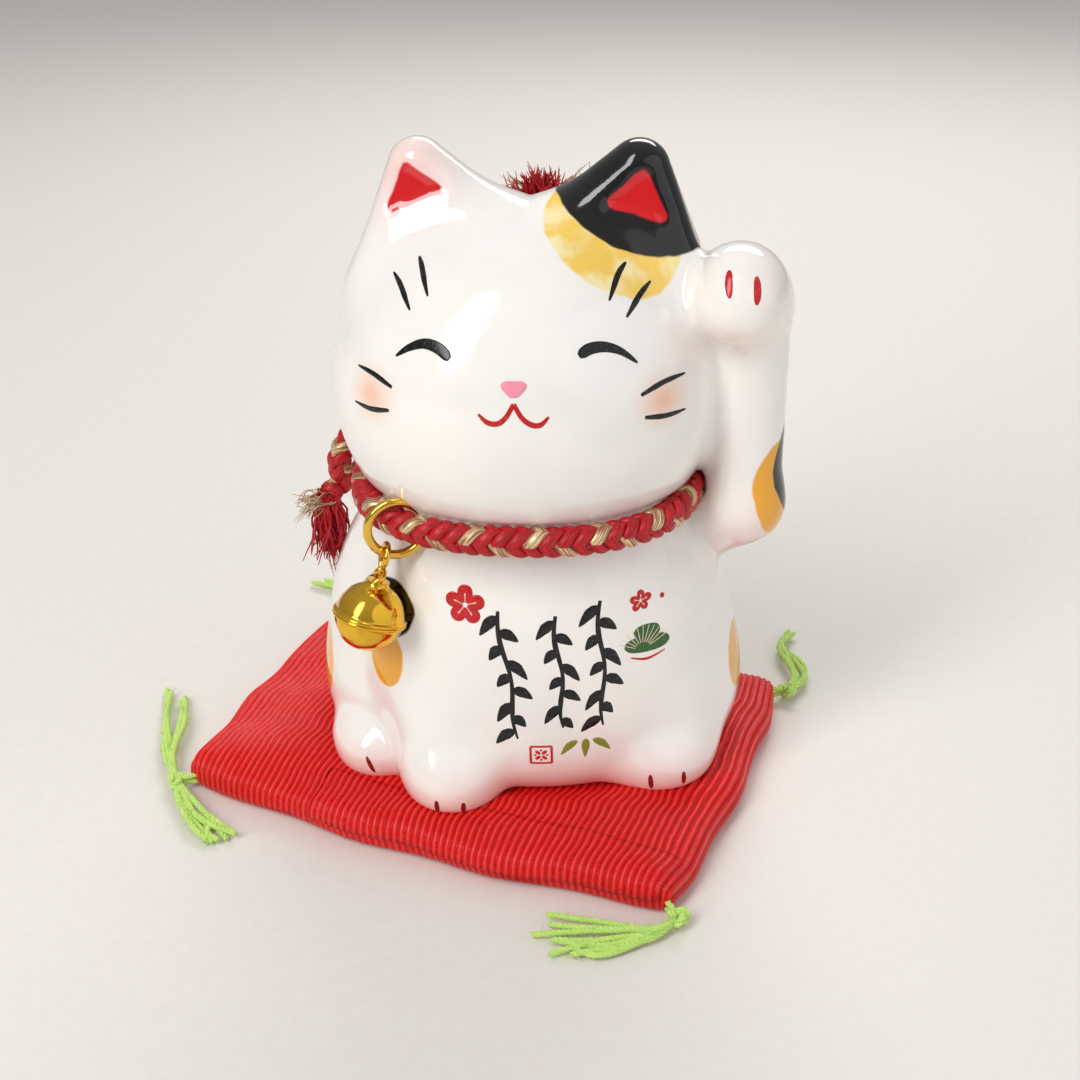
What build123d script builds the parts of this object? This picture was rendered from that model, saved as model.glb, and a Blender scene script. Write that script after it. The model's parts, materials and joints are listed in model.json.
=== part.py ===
from build123d import *
import math
import os

# Beckoning cat of glazed ceramic, sitting on a small square cushion with a tassel at each corner.
# A braided cord round its neck carries a split ring and a jingle bell.
# Frame: origin on the table under the cat, +Z up, the cat faces -Y, its raised arm is on +X.

# ---- driving dimensions, millimetres and degrees ----
cushion_length = 70.0
cushion_width = 50.0
cushion_thickness = 5.0
cushion_turn = -17.2
cushion_centre = (-5.75, 0.0)
cushion_corner_radius = 3.5
cushion_edge_radius = 1.8
cloth_thickness = 0.5
top_cloth_extra = 0.6
sewing_gap = 0.1

cat_base = cushion_thickness
cat_wall = 2.8
cat_floor = 3.5
vent_radius = 3.5
vent_back = 3.0

head_centre = (0.0, -0.5, 57.6)
head_half_width = 24.2
head_radius = 20.8
neck_height = 44.0
neck_half_width = 16.8
ear_tip_x = 12.6
shoulder = (19.0, 1.5, 33.0)
elbow = (28.1, -2.0, 40.5)
wrist = (28.1, -2.6, 66.0)
arm_radius = 5.0
upper_arm_radius = 4.6
leg_radius = 5.6
front_leg_top = (-13.5, -8.5, 24.0)
front_paw = (-9.0, -16.4, cat_base + 4.0)
right_foot = (19.0, -9.5, cat_base + 3.4)
left_foot = (-20.0, -8.0, cat_base + 3.4)
tail_centre = (0.0, 24.0, 12.0)
tail_ball_radius = 5.0
paw_centre = (25.8, -6.5, 71.0)
paw_radius = 6.2

cord_radius = 1.95
cord_height = 43.8
cord_centre = (0.0, -0.7)
cord_half_width = 21.0
cord_half_depth = 18.9
cord_squareness = 2.3
cord_points = 16
knot_radius = 3.2
knot_back = 2.75
loop_radius = 2.2
left_loop_end = (-26.5, 10.0, 46.0)
right_loop_end = (24.5, 15.5, 45.5)
tail_radius = 1.9
left_tail_end = (-32.0, 11.8, 31.5)
upright_tail_end = (1.0, 28.0, 77.0)

ring_mean_radius = 3.58
ring_wire_radius = 0.575
ring_facing = 18.0
ring_bearing = 228.0
ring_drop = 0.95

bell_radius = 4.4
bell_wall = 0.35
bell_rim_width = 0.25
bell_rim_height = 0.35
bell_drop = 8.4
bell_eye_bearing = 27.0
bell_hang = (-0.243, -0.251, -0.937)
bell_slot_width = 0.9
bell_slot_hole_radius = 0.95
bell_slot_angle = 56.0
eye_mean_radius = 1.35
eye_wire_radius = 0.42
eye_slack = 0.25
stem_radius = 0.6
stem_sink = 0.4
stem_collar_radius = 0.8
stem_collar_height = 1.0
stem_collar_lift = 0.9
stem_collar_taper = -25.0
pellet_radius = 1.4
pellet_gap = 0.15

tassel_knot_radius = 1.5
tassel_yarn_radius = 1.4
tassel_height = 1.55
tassel_step_out = 0.9
tassel_overlap = 0.05

os.makedirs("parts", exist_ok=True)


# ---- shared shapes ----
def stacked_form(sections):
    """A smooth solid through level ellipses: each is height, middle x, half width, front y, back y."""
    with BuildPart() as form:
        for height, middle, half_width, front, back in sections:
            with BuildSketch(Plane.XY.offset(height)):
                with Locations((middle, (front + back) / 2)):
                    Ellipse(half_width, (back - front) / 2)
        loft()
    return form.part


def bent_cord(points, radius):
    """A round cord that follows a chain of points, with a ball at each bend."""
    with BuildPart() as cord:
        with Locations(*points):
            Sphere(radius)
        for start, end in zip(points, points[1:]):
            along = Vector(end) - Vector(start)
            with BuildSketch(Plane(origin=start, z_dir=along)):
                Circle(radius)
            extrude(amount=along.length)
    return cord.part


def egg_between(start, end, radius):
    """An egg of revolution from one end point to the other."""
    start = Vector(*start)
    along = Vector(*end) - start
    middle = start + along / 2
    across = along.cross(Vector(0, 0, 1)).normalized()
    with BuildPart() as egg:
        with BuildSketch(Plane(origin=middle, x_dir=along, z_dir=across.cross(along))):
            Ellipse(along.length / 2, radius)
            Rectangle(along.length, 2 * radius, align=(Align.CENTER, Align.MAX), mode=Mode.SUBTRACT)
        revolve(axis=Axis(middle, along))
    return egg.part


def rod_between(start, end, radius):
    """A plain round rod with flat ends."""
    along = Vector(*end) - Vector(*start)
    with BuildPart() as rod:
        with BuildSketch(Plane(origin=start, z_dir=along)):
            Circle(radius)
        extrude(amount=along.length)
    return rod.part


# ---- ceramic cat: one hollow slip-cast shell ----
def body_form(first_height, shrink):
    """The seated body, wide and low, narrowing to the neck."""
    sections = [
        (first_height, 0.0, 24.5 - shrink / 4, -16.3 + shrink / 4, 21.0 - shrink / 4),
        (12.0, 0.0, 28.7 - shrink, -19.6 + shrink, 25.0 - shrink),
        (22.0, 0.0, 27.9 - shrink, -19.9 + shrink, 24.8 - shrink),
        (33.0, 0.0, 24.2 - shrink, -18.0 + shrink, 21.0 - shrink),
        (neck_height, 0.0, neck_half_width - shrink, -15.0 + shrink, 14.6 - shrink),
    ]
    return stacked_form(sections)


def ear(side):
    """A broad upright ear, flat towards the front, rising from the top corner of the head."""
    sections = []
    for height, step, half_width, front, back in ear_sections:
        sections.append((height, side * (ear_tip_x - step), half_width, front, back))
    return stacked_form(sections)


ear_sections = [
    (69.0, 0.6, 9.6, -6.5, 8.0),
    (77.5, 1.2, 8.0, -3.4, 6.6),
    (82.5, 0.4, 4.4, -1.2, 5.0),
    (86.0, 0.0, 0.9, 1.2, 3.0),
]
outer_body = body_form(cat_base, 0.0)
inner_body = body_form(cat_base + cat_floor, cat_wall)
left_cheek = (head_centre[0] - head_half_width, head_centre[1], head_centre[2])
right_cheek = (head_centre[0] + head_half_width, head_centre[1], head_centre[2])
outer_head = egg_between(left_cheek, right_cheek, head_radius)
hollow_reach = head_half_width - head_radius
hollow_left = (head_centre[0] - hollow_reach, head_centre[1], head_centre[2])
hollow_right = (head_centre[0] + hollow_reach, head_centre[1], head_centre[2])
inner_head = bent_cord([hollow_left, hollow_right], head_radius - cat_wall)
left_ear = ear(-1)
right_ear = ear(1)
forearm = bent_cord([elbow, wrist], arm_radius)
upper_arm = bent_cord([shoulder, elbow], upper_arm_radius)
front_leg = bent_cord([front_leg_top, front_paw], leg_radius)

with BuildPart() as raised_arm:
    add(forearm)
    add(upper_arm)
    with Locations(paw_centre):
        Sphere(paw_radius)

with BuildPart() as cavity:
    add(inner_body)
    add(inner_head)

with BuildPart() as cat_shell:
    add(outer_body)
    add(outer_head)
    add(left_ear)
    add(right_ear)
    add(raised_arm.part)
    add(front_leg)
    with Locations(right_foot):
        Sphere(leg_radius)
    with Locations(left_foot):
        Sphere(leg_radius)
    with Locations(tail_centre):
        Sphere(tail_ball_radius)
    split(bisect_by=Plane.XY.offset(cat_base), keep=Keep.TOP)
    add(cavity.part, mode=Mode.SUBTRACT)
    with BuildSketch(Plane.XY.offset(cat_base)):
        with Locations((0.0, vent_back)):
            Circle(vent_radius)
    extrude(amount=2 * cat_wall, mode=Mode.SUBTRACT)
cat_shell.part.label = "cat_shell"
export_step(cat_shell.part, "parts/cat_shell.step")


# ---- neck cord, tied in a bow at the back ----
def cord_point(bearing):
    """A point of the cord's centre line: a rounded square seen from above, bearing in degrees from +X."""
    across = math.cos(math.radians(bearing))
    along = math.sin(math.radians(bearing))
    reach = (abs(across) ** cord_squareness + abs(along) ** cord_squareness) ** (-1 / cord_squareness)
    x = cord_centre[0] + cord_half_width * across * reach
    y = cord_centre[1] + cord_half_depth * along * reach
    return Vector(x, y, cord_height)


knot_centre = cord_point(90) + Vector(0, knot_back, 0)
left_loop = rod_between(knot_centre, left_loop_end, loop_radius)
right_loop = rod_between(knot_centre, right_loop_end, loop_radius)
left_tail = rod_between(knot_centre, left_tail_end, tail_radius)
upright_tail = rod_between(knot_centre, upright_tail_end, tail_radius)

with BuildPart() as neck_cord:
    with BuildLine() as neck_line:
        Spline(*[cord_point(360 * i / cord_points) for i in range(cord_points)], periodic=True)
    with BuildSketch(Plane(origin=neck_line.line @ 0, z_dir=neck_line.line % 0)):
        Circle(cord_radius)
    sweep()
neck_cord.part.label = "neck_cord"
export_step(neck_cord.part, "parts/neck_cord.step")

with BuildPart() as cord_bow:
    with Locations(knot_centre):
        Sphere(knot_radius)
    add(left_loop)
    add(right_loop)
    add(left_tail)
    add(upright_tail)
cord_bow.part.label = "cord_bow"
export_step(cord_bow.part, "parts/cord_bow.step")

# ---- split ring, hanging on the cord ----
ring_normal = Vector(math.sin(math.radians(ring_facing)), -math.cos(math.radians(ring_facing)), 0)
ring_across = Vector(math.cos(math.radians(ring_facing)), math.sin(math.radians(ring_facing)), 0)
ring_centre = cord_point(ring_bearing) - Vector(0, 0, ring_drop)
ring_plane = Plane(origin=ring_centre, x_dir=ring_across, z_dir=ring_normal)

with BuildPart() as jump_ring:
    with Locations(ring_plane.location):
        Torus(ring_mean_radius, ring_wire_radius)
jump_ring.part.label = "jump_ring"
export_step(jump_ring.part, "parts/jump_ring.step")

# ---- jingle bell: two pressed shells, a wire eye and a loose pellet ----
eye_angle = math.radians(bell_eye_bearing)
eye_point = ring_centre - (ring_across * math.sin(eye_angle) + Vector(0, 0, math.cos(eye_angle))) * ring_mean_radius
ring_tangent = Vector(0, 0, math.sin(eye_angle)) - ring_across * math.cos(eye_angle)
hang = Vector(*bell_hang).normalized()
eye_normal = (ring_tangent - hang * ring_tangent.dot(hang)).normalized()
bell_centre = eye_point + hang * bell_drop
bell_plane = Plane(origin=bell_centre, x_dir=eye_normal, z_dir=-hang)

with BuildPart() as bell_upper_shell:
    with Locations(bell_plane.location):
        Sphere(bell_radius)
    with BuildSketch(bell_plane):
        Circle(bell_radius + bell_rim_width)
    extrude(amount=bell_rim_height)
    split(bisect_by=bell_plane, keep=Keep.TOP)
    with Locations(bell_plane.location):
        Sphere(bell_radius - bell_wall, mode=Mode.SUBTRACT)
bell_upper_shell.part.label = "bell_upper_shell"
export_step(bell_upper_shell.part, "parts/bell_upper_shell.step")

slot_reach = bell_radius * math.sin(math.radians(bell_slot_angle))
with BuildPart() as bell_lower_shell:
    with Locations(bell_plane.location):
        Sphere(bell_radius)
    with BuildSketch(bell_plane):
        Circle(bell_radius + bell_rim_width)
    extrude(amount=-bell_rim_height)
    split(bisect_by=bell_plane, keep=Keep.BOTTOM)
    with Locations(bell_plane.location):
        Sphere(bell_radius - bell_wall, mode=Mode.SUBTRACT)
    with BuildSketch(bell_plane.offset(-bell_rim_height - bell_wall)):
        Rectangle(2 * slot_reach, bell_slot_width)
        with Locations((-slot_reach, 0), (slot_reach, 0)):
            Circle(bell_slot_hole_radius)
    extrude(amount=-bell_radius, mode=Mode.SUBTRACT)
bell_lower_shell.part.label = "bell_lower_shell"
export_step(bell_lower_shell.part, "parts/bell_lower_shell.step")

eye_plane = Plane(origin=eye_point + hang * eye_slack, x_dir=hang, z_dir=eye_normal)
stem_start = eye_slack + eye_mean_radius
stem_end = bell_drop - bell_radius + bell_wall + stem_sink
collar_start = bell_drop - bell_radius - stem_collar_lift
with BuildPart() as bell_hanger:
    with Locations(eye_plane.location):
        Torus(eye_mean_radius, eye_wire_radius)
    with BuildSketch(Plane(origin=eye_point + hang * stem_start, x_dir=eye_normal, z_dir=hang)):
        Circle(stem_radius)
    extrude(amount=stem_end - stem_start)
    with BuildSketch(Plane(origin=eye_point + hang * collar_start, x_dir=eye_normal, z_dir=hang)):
        Circle(stem_collar_radius)
    extrude(amount=stem_collar_height, taper=stem_collar_taper)
bell_hanger.part.label = "bell_hanger"
export_step(bell_hanger.part, "parts/bell_hanger.step")

pellet_drop = bell_radius - bell_wall - pellet_radius - pellet_gap
with BuildPart() as bell_pellet:
    with Locations(bell_centre + hang * pellet_drop):
        Sphere(pellet_radius)
bell_pellet.part.label = "bell_pellet"
export_step(bell_pellet.part, "parts/bell_pellet.step")


# ---- cushion: cloth cover, backing cloth and filling ----
def cushion_level(height):
    """The cushion's own level plane: its length runs along the plane's x."""
    return Plane(origin=(*cushion_centre, height)).rotated((0, 0, cushion_turn))


with BuildPart() as cushion_backing:
    with BuildSketch(cushion_level(0)):
        RectangleRounded(cushion_length, cushion_width, cushion_corner_radius)
    extrude(amount=cloth_thickness)
cushion_backing.part.label = "cushion_backing"
export_step(cushion_backing.part, "parts/cushion_backing.step")

cover_hollow_height = cushion_thickness - 2 * cloth_thickness - top_cloth_extra
with BuildPart() as cushion_cover:
    with BuildSketch(cushion_level(cloth_thickness)):
        RectangleRounded(cushion_length, cushion_width, cushion_corner_radius)
    extrude(amount=cushion_thickness - cloth_thickness)
    fillet(cushion_cover.edges().group_by(Axis.Z)[-1], cushion_edge_radius)
    with BuildSketch(cushion_level(cloth_thickness)):
        RectangleRounded(
            cushion_length - 2 * cloth_thickness,
            cushion_width - 2 * cloth_thickness,
            cushion_corner_radius - cloth_thickness,
        )
    extrude(amount=cover_hollow_height, mode=Mode.SUBTRACT)
cushion_cover.part.label = "cushion_cover"
export_step(cushion_cover.part, "parts/cushion_cover.step")

inset = cloth_thickness + sewing_gap
with BuildPart() as cushion_filling:
    with BuildSketch(cushion_level(inset)):
        RectangleRounded(cushion_length - 2 * inset, cushion_width - 2 * inset, cushion_corner_radius - inset)
    extrude(amount=cover_hollow_height - 2 * sewing_gap)
cushion_filling.part.label = "cushion_filling"
export_step(cushion_filling.part, "parts/cushion_filling.step")


# ---- tassels: a knot of yarn sewn to each corner ----
def tassel(name, side, end, reaches):
    """Yarn bundles lying on the table, knotted just off one corner of the cushion."""
    across = side * (cushion_length / 2 + tassel_step_out)
    along = end * (cushion_width / 2 + tassel_step_out)
    corner = cushion_level(tassel_height).from_local_coords(Vector(across, along, 0))
    bundles = []
    for reach in reaches:
        start = corner - Vector(*reach) * tassel_overlap
        bundles.append(egg_between(start, corner + Vector(*reach), tassel_yarn_radius))
    with BuildPart() as piece:
        with Locations(corner):
            Sphere(tassel_knot_radius)
        for bundle in bundles:
            add(bundle)
    piece.part.label = name
    export_step(piece.part, "parts/" + name + ".step")


tassel("tassel_front_left", -1, -1, [(-8.0, 19.0), (9.5, -12.0)])
tassel("tassel_front_right", 1, -1, [(-14.0, -4.5)])
tassel("tassel_back_right", 1, 1, [(2.0, 15.5)])
tassel("tassel_back_left", -1, 1, [(-8.0, 8.0)])
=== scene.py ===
import json
import math
from functools import partial
import bmesh
import bpy
import numpy as np
import openvdb
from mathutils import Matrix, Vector
from mathutils.bvhtree import BVHTree


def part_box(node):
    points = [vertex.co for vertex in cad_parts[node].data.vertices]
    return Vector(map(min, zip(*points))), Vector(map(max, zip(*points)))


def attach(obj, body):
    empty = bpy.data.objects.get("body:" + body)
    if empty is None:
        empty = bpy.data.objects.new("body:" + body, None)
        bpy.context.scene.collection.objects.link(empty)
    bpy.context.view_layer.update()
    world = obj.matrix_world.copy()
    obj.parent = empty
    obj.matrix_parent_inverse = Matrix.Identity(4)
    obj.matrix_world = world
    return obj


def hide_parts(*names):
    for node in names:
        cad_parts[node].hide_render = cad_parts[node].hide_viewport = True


# Beckoning cat of glazed porcelain on a ribbed red cushion, with a braided collar, ring and jingle bell.
# Everything is worked out in millimetres and written to Blender in metres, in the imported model's frame.

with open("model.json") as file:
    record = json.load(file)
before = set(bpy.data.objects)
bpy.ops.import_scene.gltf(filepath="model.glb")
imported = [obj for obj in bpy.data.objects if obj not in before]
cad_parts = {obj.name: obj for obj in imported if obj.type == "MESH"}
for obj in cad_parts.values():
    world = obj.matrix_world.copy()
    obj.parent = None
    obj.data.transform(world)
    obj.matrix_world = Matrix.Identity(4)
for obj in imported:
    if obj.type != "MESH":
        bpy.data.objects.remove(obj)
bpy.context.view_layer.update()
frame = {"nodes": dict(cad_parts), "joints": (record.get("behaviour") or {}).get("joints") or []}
scene = bpy.context.scene
chance = np.random.default_rng(11)

MM = 0.001
UP = np.array((0.0, 0.0, 1.0))


# ---- what the frame says ----
def reach(*nodes):
    """Lowest and highest corner of these CAD nodes together, in millimetres."""
    lows = np.array([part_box(node)[0] for node in nodes]) / MM
    highs = np.array([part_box(node)[1] for node in nodes]) / MM
    return lows.min(axis=0), highs.max(axis=0)


def joint_named(name):
    """The record's joint of that name."""
    return next(joint for joint in frame["joints"] if joint["name"] == name)


def node_points(node):
    """The CAD node's own vertices, in millimetres."""
    mesh = frame["nodes"][node].data
    flat = np.zeros(3 * len(mesh.vertices))
    mesh.vertices.foreach_get("co", flat)
    return flat.reshape(-1, 3) / MM


cat_low, cat_high = reach("cat_shell")
cord_low, cord_high = reach("neck_cord")
ring_low, ring_high = reach("jump_ring")
bell_low, bell_high = reach("bell_upper_shell", "bell_lower_shell")
pellet_low, pellet_high = reach("bell_pellet")

CAT_BASE = cat_low[2]
CORD_RADIUS = (cord_high[2] - cord_low[2]) / 2
CORD_CENTRE = (cord_low + cord_high) / 2
CORD_HALF_WIDTH = (cord_high[0] - cord_low[0]) / 2 - CORD_RADIUS
CORD_HALF_DEPTH = (cord_high[1] - cord_low[1]) / 2 - CORD_RADIUS
CORD_SQUARENESS = 2.3

RING_CENTRE = (ring_low + ring_high) / 2
RING_WIRE = 0.575
RING_RADIUS = (ring_high[2] - ring_low[2]) / 2 - RING_WIRE
RING_ACROSS = (ring_high - ring_low - 2 * RING_WIRE) * (1, 1, 0)
RING_ACROSS = RING_ACROSS / np.linalg.norm(RING_ACROSS)

BELL_CENTRE = (bell_low + bell_high) / 2
BELL_HANG = -np.array(joint_named("pellet_rattle")["axis"])
BELL_SWING = np.array(joint_named("bell_swing")["axis"])
EYE_POINT = np.array(joint_named("bell_swing")["pos_m"]) / MM
PELLET_CENTRE = (pellet_low + pellet_high) / 2
PELLET_RADIUS = (pellet_high[0] - pellet_low[0]) / 2
BELL_DROP = float((BELL_CENTRE - EYE_POINT) @ BELL_HANG)


# ---- vectors and curves ----
def length(vectors):
    """Length of each row."""
    return np.sqrt((vectors * vectors).sum(axis=-1))


def unit(vectors):
    """The same directions with length one."""
    return vectors / np.maximum(np.linalg.norm(vectors, axis=-1, keepdims=True), 1e-12)


def cubic(values, count, closed=False):
    """Values resampled to count rows along a smooth curve through the given rows."""
    values = np.asarray(values, float)
    last = len(values) if closed else len(values) - 1
    places = np.linspace(0, last, count, endpoint=not closed)
    start = np.minimum(places.astype(int), last - 1)
    share = (places - start).reshape((-1,) + (1,) * (values.ndim - 1))
    rows = []
    for step in (-1, 0, 1, 2):
        row = start + step
        row = row % len(values) if closed else np.clip(row, 0, len(values) - 1)
        rows.append(values[row])
    before, here, after, later = rows
    bend = 2 * before - 5 * here + 4 * after - later
    swing = 3 * here - before - 3 * after + later
    return here + 0.5 * share * (after - before + share * (bend + share * swing))


def steady_sides(path):
    """Tangents and two side directions along a path that turn as little as possible."""
    tangents = unit(np.gradient(path, axis=0))
    first = np.cross(tangents[0], UP)
    if np.linalg.norm(first) < 0.1:
        first = np.cross(tangents[0], (1.0, 0.0, 0.0))
    sides = [unit(first)]
    for tangent in tangents[1:]:
        side = sides[-1] - tangent * (sides[-1] @ tangent)
        sides.append(unit(side))
    sides = np.array(sides)
    return tangents, sides, np.cross(tangents, sides)


class Shape:
    """Closed swept parts gathered into one mesh, with fibre coordinates for the materials."""

    def __init__(self):
        self.points = []
        self.faces = []
        self.fibres = []
        self.kinds = []
        self.count = 0

    def add(self, rings, closed=False, kind=0.0):
        """Skins rings of points, each an outline of the part. kind picks the material's thread."""
        rings = np.asarray(rings, float)
        rows, sides = rings.shape[:2]
        index = self.count + np.arange(rows * sides).reshape(rows, sides)
        after = np.roll(index, -1, axis=1)
        ahead = np.roll(index, -1, axis=0)
        ahead_after = np.roll(after, -1, axis=0)
        kept = rows if closed else rows - 1
        quads = np.stack([index, after, ahead_after, ahead], axis=-1)[:kept]
        self.faces.extend(quads.reshape(-1, 4).tolist())
        if not closed:
            self.faces.append(index[0][::-1].tolist())
            self.faces.append(index[-1].tolist())
        middle = rings.mean(axis=1)
        along = np.concatenate([[0], np.cumsum(length(np.diff(middle, axis=0)))])
        angle = 2 * math.pi * np.arange(sides) / sides
        fibre = np.zeros((rows, sides, 3))
        fibre[..., 0] = along[:, None]
        fibre[..., 1] = np.cos(angle) + 3.1 * len(self.points)
        fibre[..., 2] = np.sin(angle)
        self.points.append(rings.reshape(-1, 3))
        self.fibres.append(fibre.reshape(-1, 3))
        self.kinds.append(np.full(rows * sides, kind))
        self.count += rows * sides

    def piece(self, name, material, body, nodes=(), slot=None):
        """Writes the mesh, gives it its material and hangs it on its CAD body."""
        points = np.concatenate(self.points)
        made = make_piece(name, points, self.faces, material, body, nodes, mend=True)
        add_values(made, "fibre", np.concatenate(self.fibres))
        add_values(made, "kind", np.concatenate(self.kinds))
        return made


def make_piece(name, points, faces, material, body, nodes=(), mend=False):
    """A smooth mesh from points in millimetres, riding on a CAD body and standing for CAD nodes."""
    mesh = bpy.data.meshes.new(name)
    mesh.from_pydata((np.asarray(points) * MM).tolist(), [], faces)
    if mend:
        work = bmesh.new()
        work.from_mesh(mesh)
        bmesh.ops.recalc_face_normals(work, faces=work.faces)
        work.to_mesh(mesh)
        work.free()
    mesh.update()
    mesh.shade_smooth()
    mesh.materials.append(material)
    made = bpy.data.objects.new(name, mesh)
    scene.collection.objects.link(made)
    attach(made, body)
    if nodes:
        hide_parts(*nodes)
    return made


def add_values(made, name, values):
    """Stores a number or a vector on each vertex for the material to read."""
    values = np.asarray(values, np.float32)
    if values.ndim == 1:
        made.data.attributes.new(name, "FLOAT", "POINT").data.foreach_set("value", values)
    else:
        made.data.attributes.new(name, "FLOAT_VECTOR", "POINT").data.foreach_set("vector", values.ravel())


def tube(path, radius, sides=8):
    """Rings of a round tube along a path; radius is one number or one for each point."""
    path = np.asarray(path, float)
    _, side, other = steady_sides(path)
    radius = np.broadcast_to(np.asarray(radius, float), len(path))[:, None, None]
    angle = 2 * math.pi * np.arange(sides) / sides
    spoke = side[:, None] * np.cos(angle)[:, None] + other[:, None] * np.sin(angle)[:, None]
    return path[:, None] + spoke * radius


# ---- shapes given by a distance, in millimetres ----
def join(first, second, softness):
    """Union of two distances with a rounded crease."""
    share = np.clip(0.5 + 0.5 * (second - first) / softness, 0, 1)
    return second + (first - second) * share - softness * share * (1 - share)


def carve(first, second, softness):
    """What is left of the first shape outside the second, with a rounded edge."""
    return -join(-first, second, softness)


def egg(points, centre, half_width, front, back, up, down, crown=2.0, jaw=2.0):
    """Distance, nearly, to an egg whose front, back, top and bottom reach differ.

    crown and jaw say how square the outline is above and below the middle; 2 is an ellipse.
    """
    x, y, z = (points - np.array(centre)).T
    depth = np.where(y < 0, front, back)
    height = np.where(z > 0, up, down)
    power = np.where(z > 0, crown, jaw)
    level = np.sqrt((x / half_width) ** 2 + (y / depth) ** 2) + 1e-9
    rise = np.abs(z) / height + 1e-9
    outline = (level**power + rise**power) ** (1 / power)
    side = (level / outline) ** (power - 1)
    lift = (rise / outline) ** (power - 1) / height
    slope_x = side * x / (half_width**2 * level)
    slope_y = side * y / (depth**2 * level)
    slope = np.sqrt(slope_x**2 + slope_y**2 + lift**2) + 1e-9
    return (outline - 1) / slope


def limb(points, start, end, start_radius, end_radius):
    """Distance to a round limb between two balls."""
    start = np.array(start)
    along = np.array(end) - start
    share = np.clip((points - start) @ along / (along @ along), 0, 1)
    radius = start_radius + (end_radius - start_radius) * share
    return length(points - start - share[:, None] * along) - radius


def slopes(field, points, step=0.02):
    """The distance's gradient at each point."""
    rows = []
    for axis in range(3):
        nudge = np.zeros(3)
        nudge[axis] = step
        rows.append((field(points + nudge) - field(points - nudge)) / (2 * step))
    return np.stack(rows, axis=1)


def surface(field, low, high, cell):
    """Points and faces of the surface where the distance is nought, moved exactly onto it."""
    low = np.array(low, float)
    count = np.ceil((np.array(high) - low) / cell).astype(int) + 1
    level_x, level_y = np.meshgrid(np.arange(count[0]), np.arange(count[1]), indexing="ij")
    values = np.zeros(count, np.float32)
    for layer in range(count[2]):
        flat = np.stack([level_x.ravel(), level_y.ravel(), np.full(level_x.size, layer)], axis=1)
        values[:, :, layer] = field(low + flat * cell).reshape(level_x.shape)
    grid = openvdb.FloatGrid(background=3 * cell)
    grid.copyFromArray(values)
    points, quads = grid.convertToQuads(isovalue=0.0)
    points = low + points.astype(float) * cell
    for _ in range(3):
        slope = slopes(field, points)
        points -= slope * (field(points) / np.maximum((slope * slope).sum(axis=1), 0.1))[:, None]
    first = points[quads[:, 1]] - points[quads[:, 0]]
    second = points[quads[:, 3]] - points[quads[:, 0]]
    facing = (np.cross(first, second) * slopes(field, points[quads].mean(axis=1))).sum()
    if facing < 0:
        quads = quads[:, ::-1]
    return points, quads


# ---- the cat ----
HEAD_CENTRE = (0.0, -0.5, 57.4)
HEAD_HALF_WIDTH = 24.3
HEAD_DEPTH = 20.6
EAR_TIP = (13.1, 83.1)
EAR_OUTER = (18.2, 69.6)
EAR_INNER = (4.4, 76.2)
EAR_DEPTH = 0.3
EAR_TAPER = 0.17
EAR_THICKEST = 1.9
EAR_ROUND = 3.7
EAR_SHIFT = 0.6
HOLLOW_DEPTH = 0.7
VENT_RADIUS = 3.5
VENT_DEPTH = 7.0
VENT_BACK = 3.0
EAR_CREASE = 5.0
NECK_CREASE = 1.4
ARM_CREASE = 2.4
CORD_GROOVE_EDGE = 0.5
BASE_EDGE = 0.8
VENT_EDGE = 0.6


def triangle(points, side, corners):
    """Distance in front view to a triangle with its corners in clockwise order; side -1 mirrors it."""
    corners = np.array(corners)
    flat = points[:, (0, 2)] * (side, 1)
    inside = np.full(len(points), 1e9)
    edge = np.full(len(points), 1e9)
    for index in range(3):
        start = corners[index]
        span = corners[(index + 1) % 3] - start
        share = np.clip((flat - start) @ span / (span @ span), 0, 1)
        edge = np.minimum(edge, length(flat - start - share[:, None] * span))
        across = (flat[:, 0] - start[0]) * span[1] - (flat[:, 1] - start[1]) * span[0]
        inside = np.minimum(inside, across)
    return np.where(inside > 0, -edge, edge)


def ear_field(points, side):
    """A rounded triangular ear, thicker towards its root."""
    plan = triangle(points - (EAR_SHIFT, 0, 0), side, (EAR_TIP, EAR_OUTER, EAR_INNER))
    thick = np.clip((EAR_TIP[1] - points[:, 2]) * EAR_TAPER, 0, EAR_THICKEST)
    over = np.abs(points[:, 1] - EAR_DEPTH) - thick
    outer = length(np.stack([np.maximum(plan, 0), np.maximum(over, 0)], axis=1))
    return outer + np.minimum(np.maximum(plan, over), 0) - EAR_ROUND


def ear_inside(points):
    """Distance in front view to the red inside of either ear; far away behind the ears."""
    left = triangle(points, -1, ((13.3, 84.0), (15.2, 79.3), (9.8, 81.4)))
    right = triangle(points, 1, ((14.3, 83.4), (16.6, 78.6), (10.8, 80.3)))
    return np.where(points[:, 1] < EAR_DEPTH + 0.5, np.minimum(left, right) - 0.6, 9.0)


def ear_hollow(points):
    """How deep the shallow hollow round the inside of each ear is."""
    share = np.clip(0.5 - ear_inside(points) / 2.4, 0, 1)
    front = np.clip((EAR_DEPTH + 0.5 - points[:, 1]) / 1.5, 0, 1)
    return HOLLOW_DEPTH * share**2 * (3 - 2 * share) * front


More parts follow.
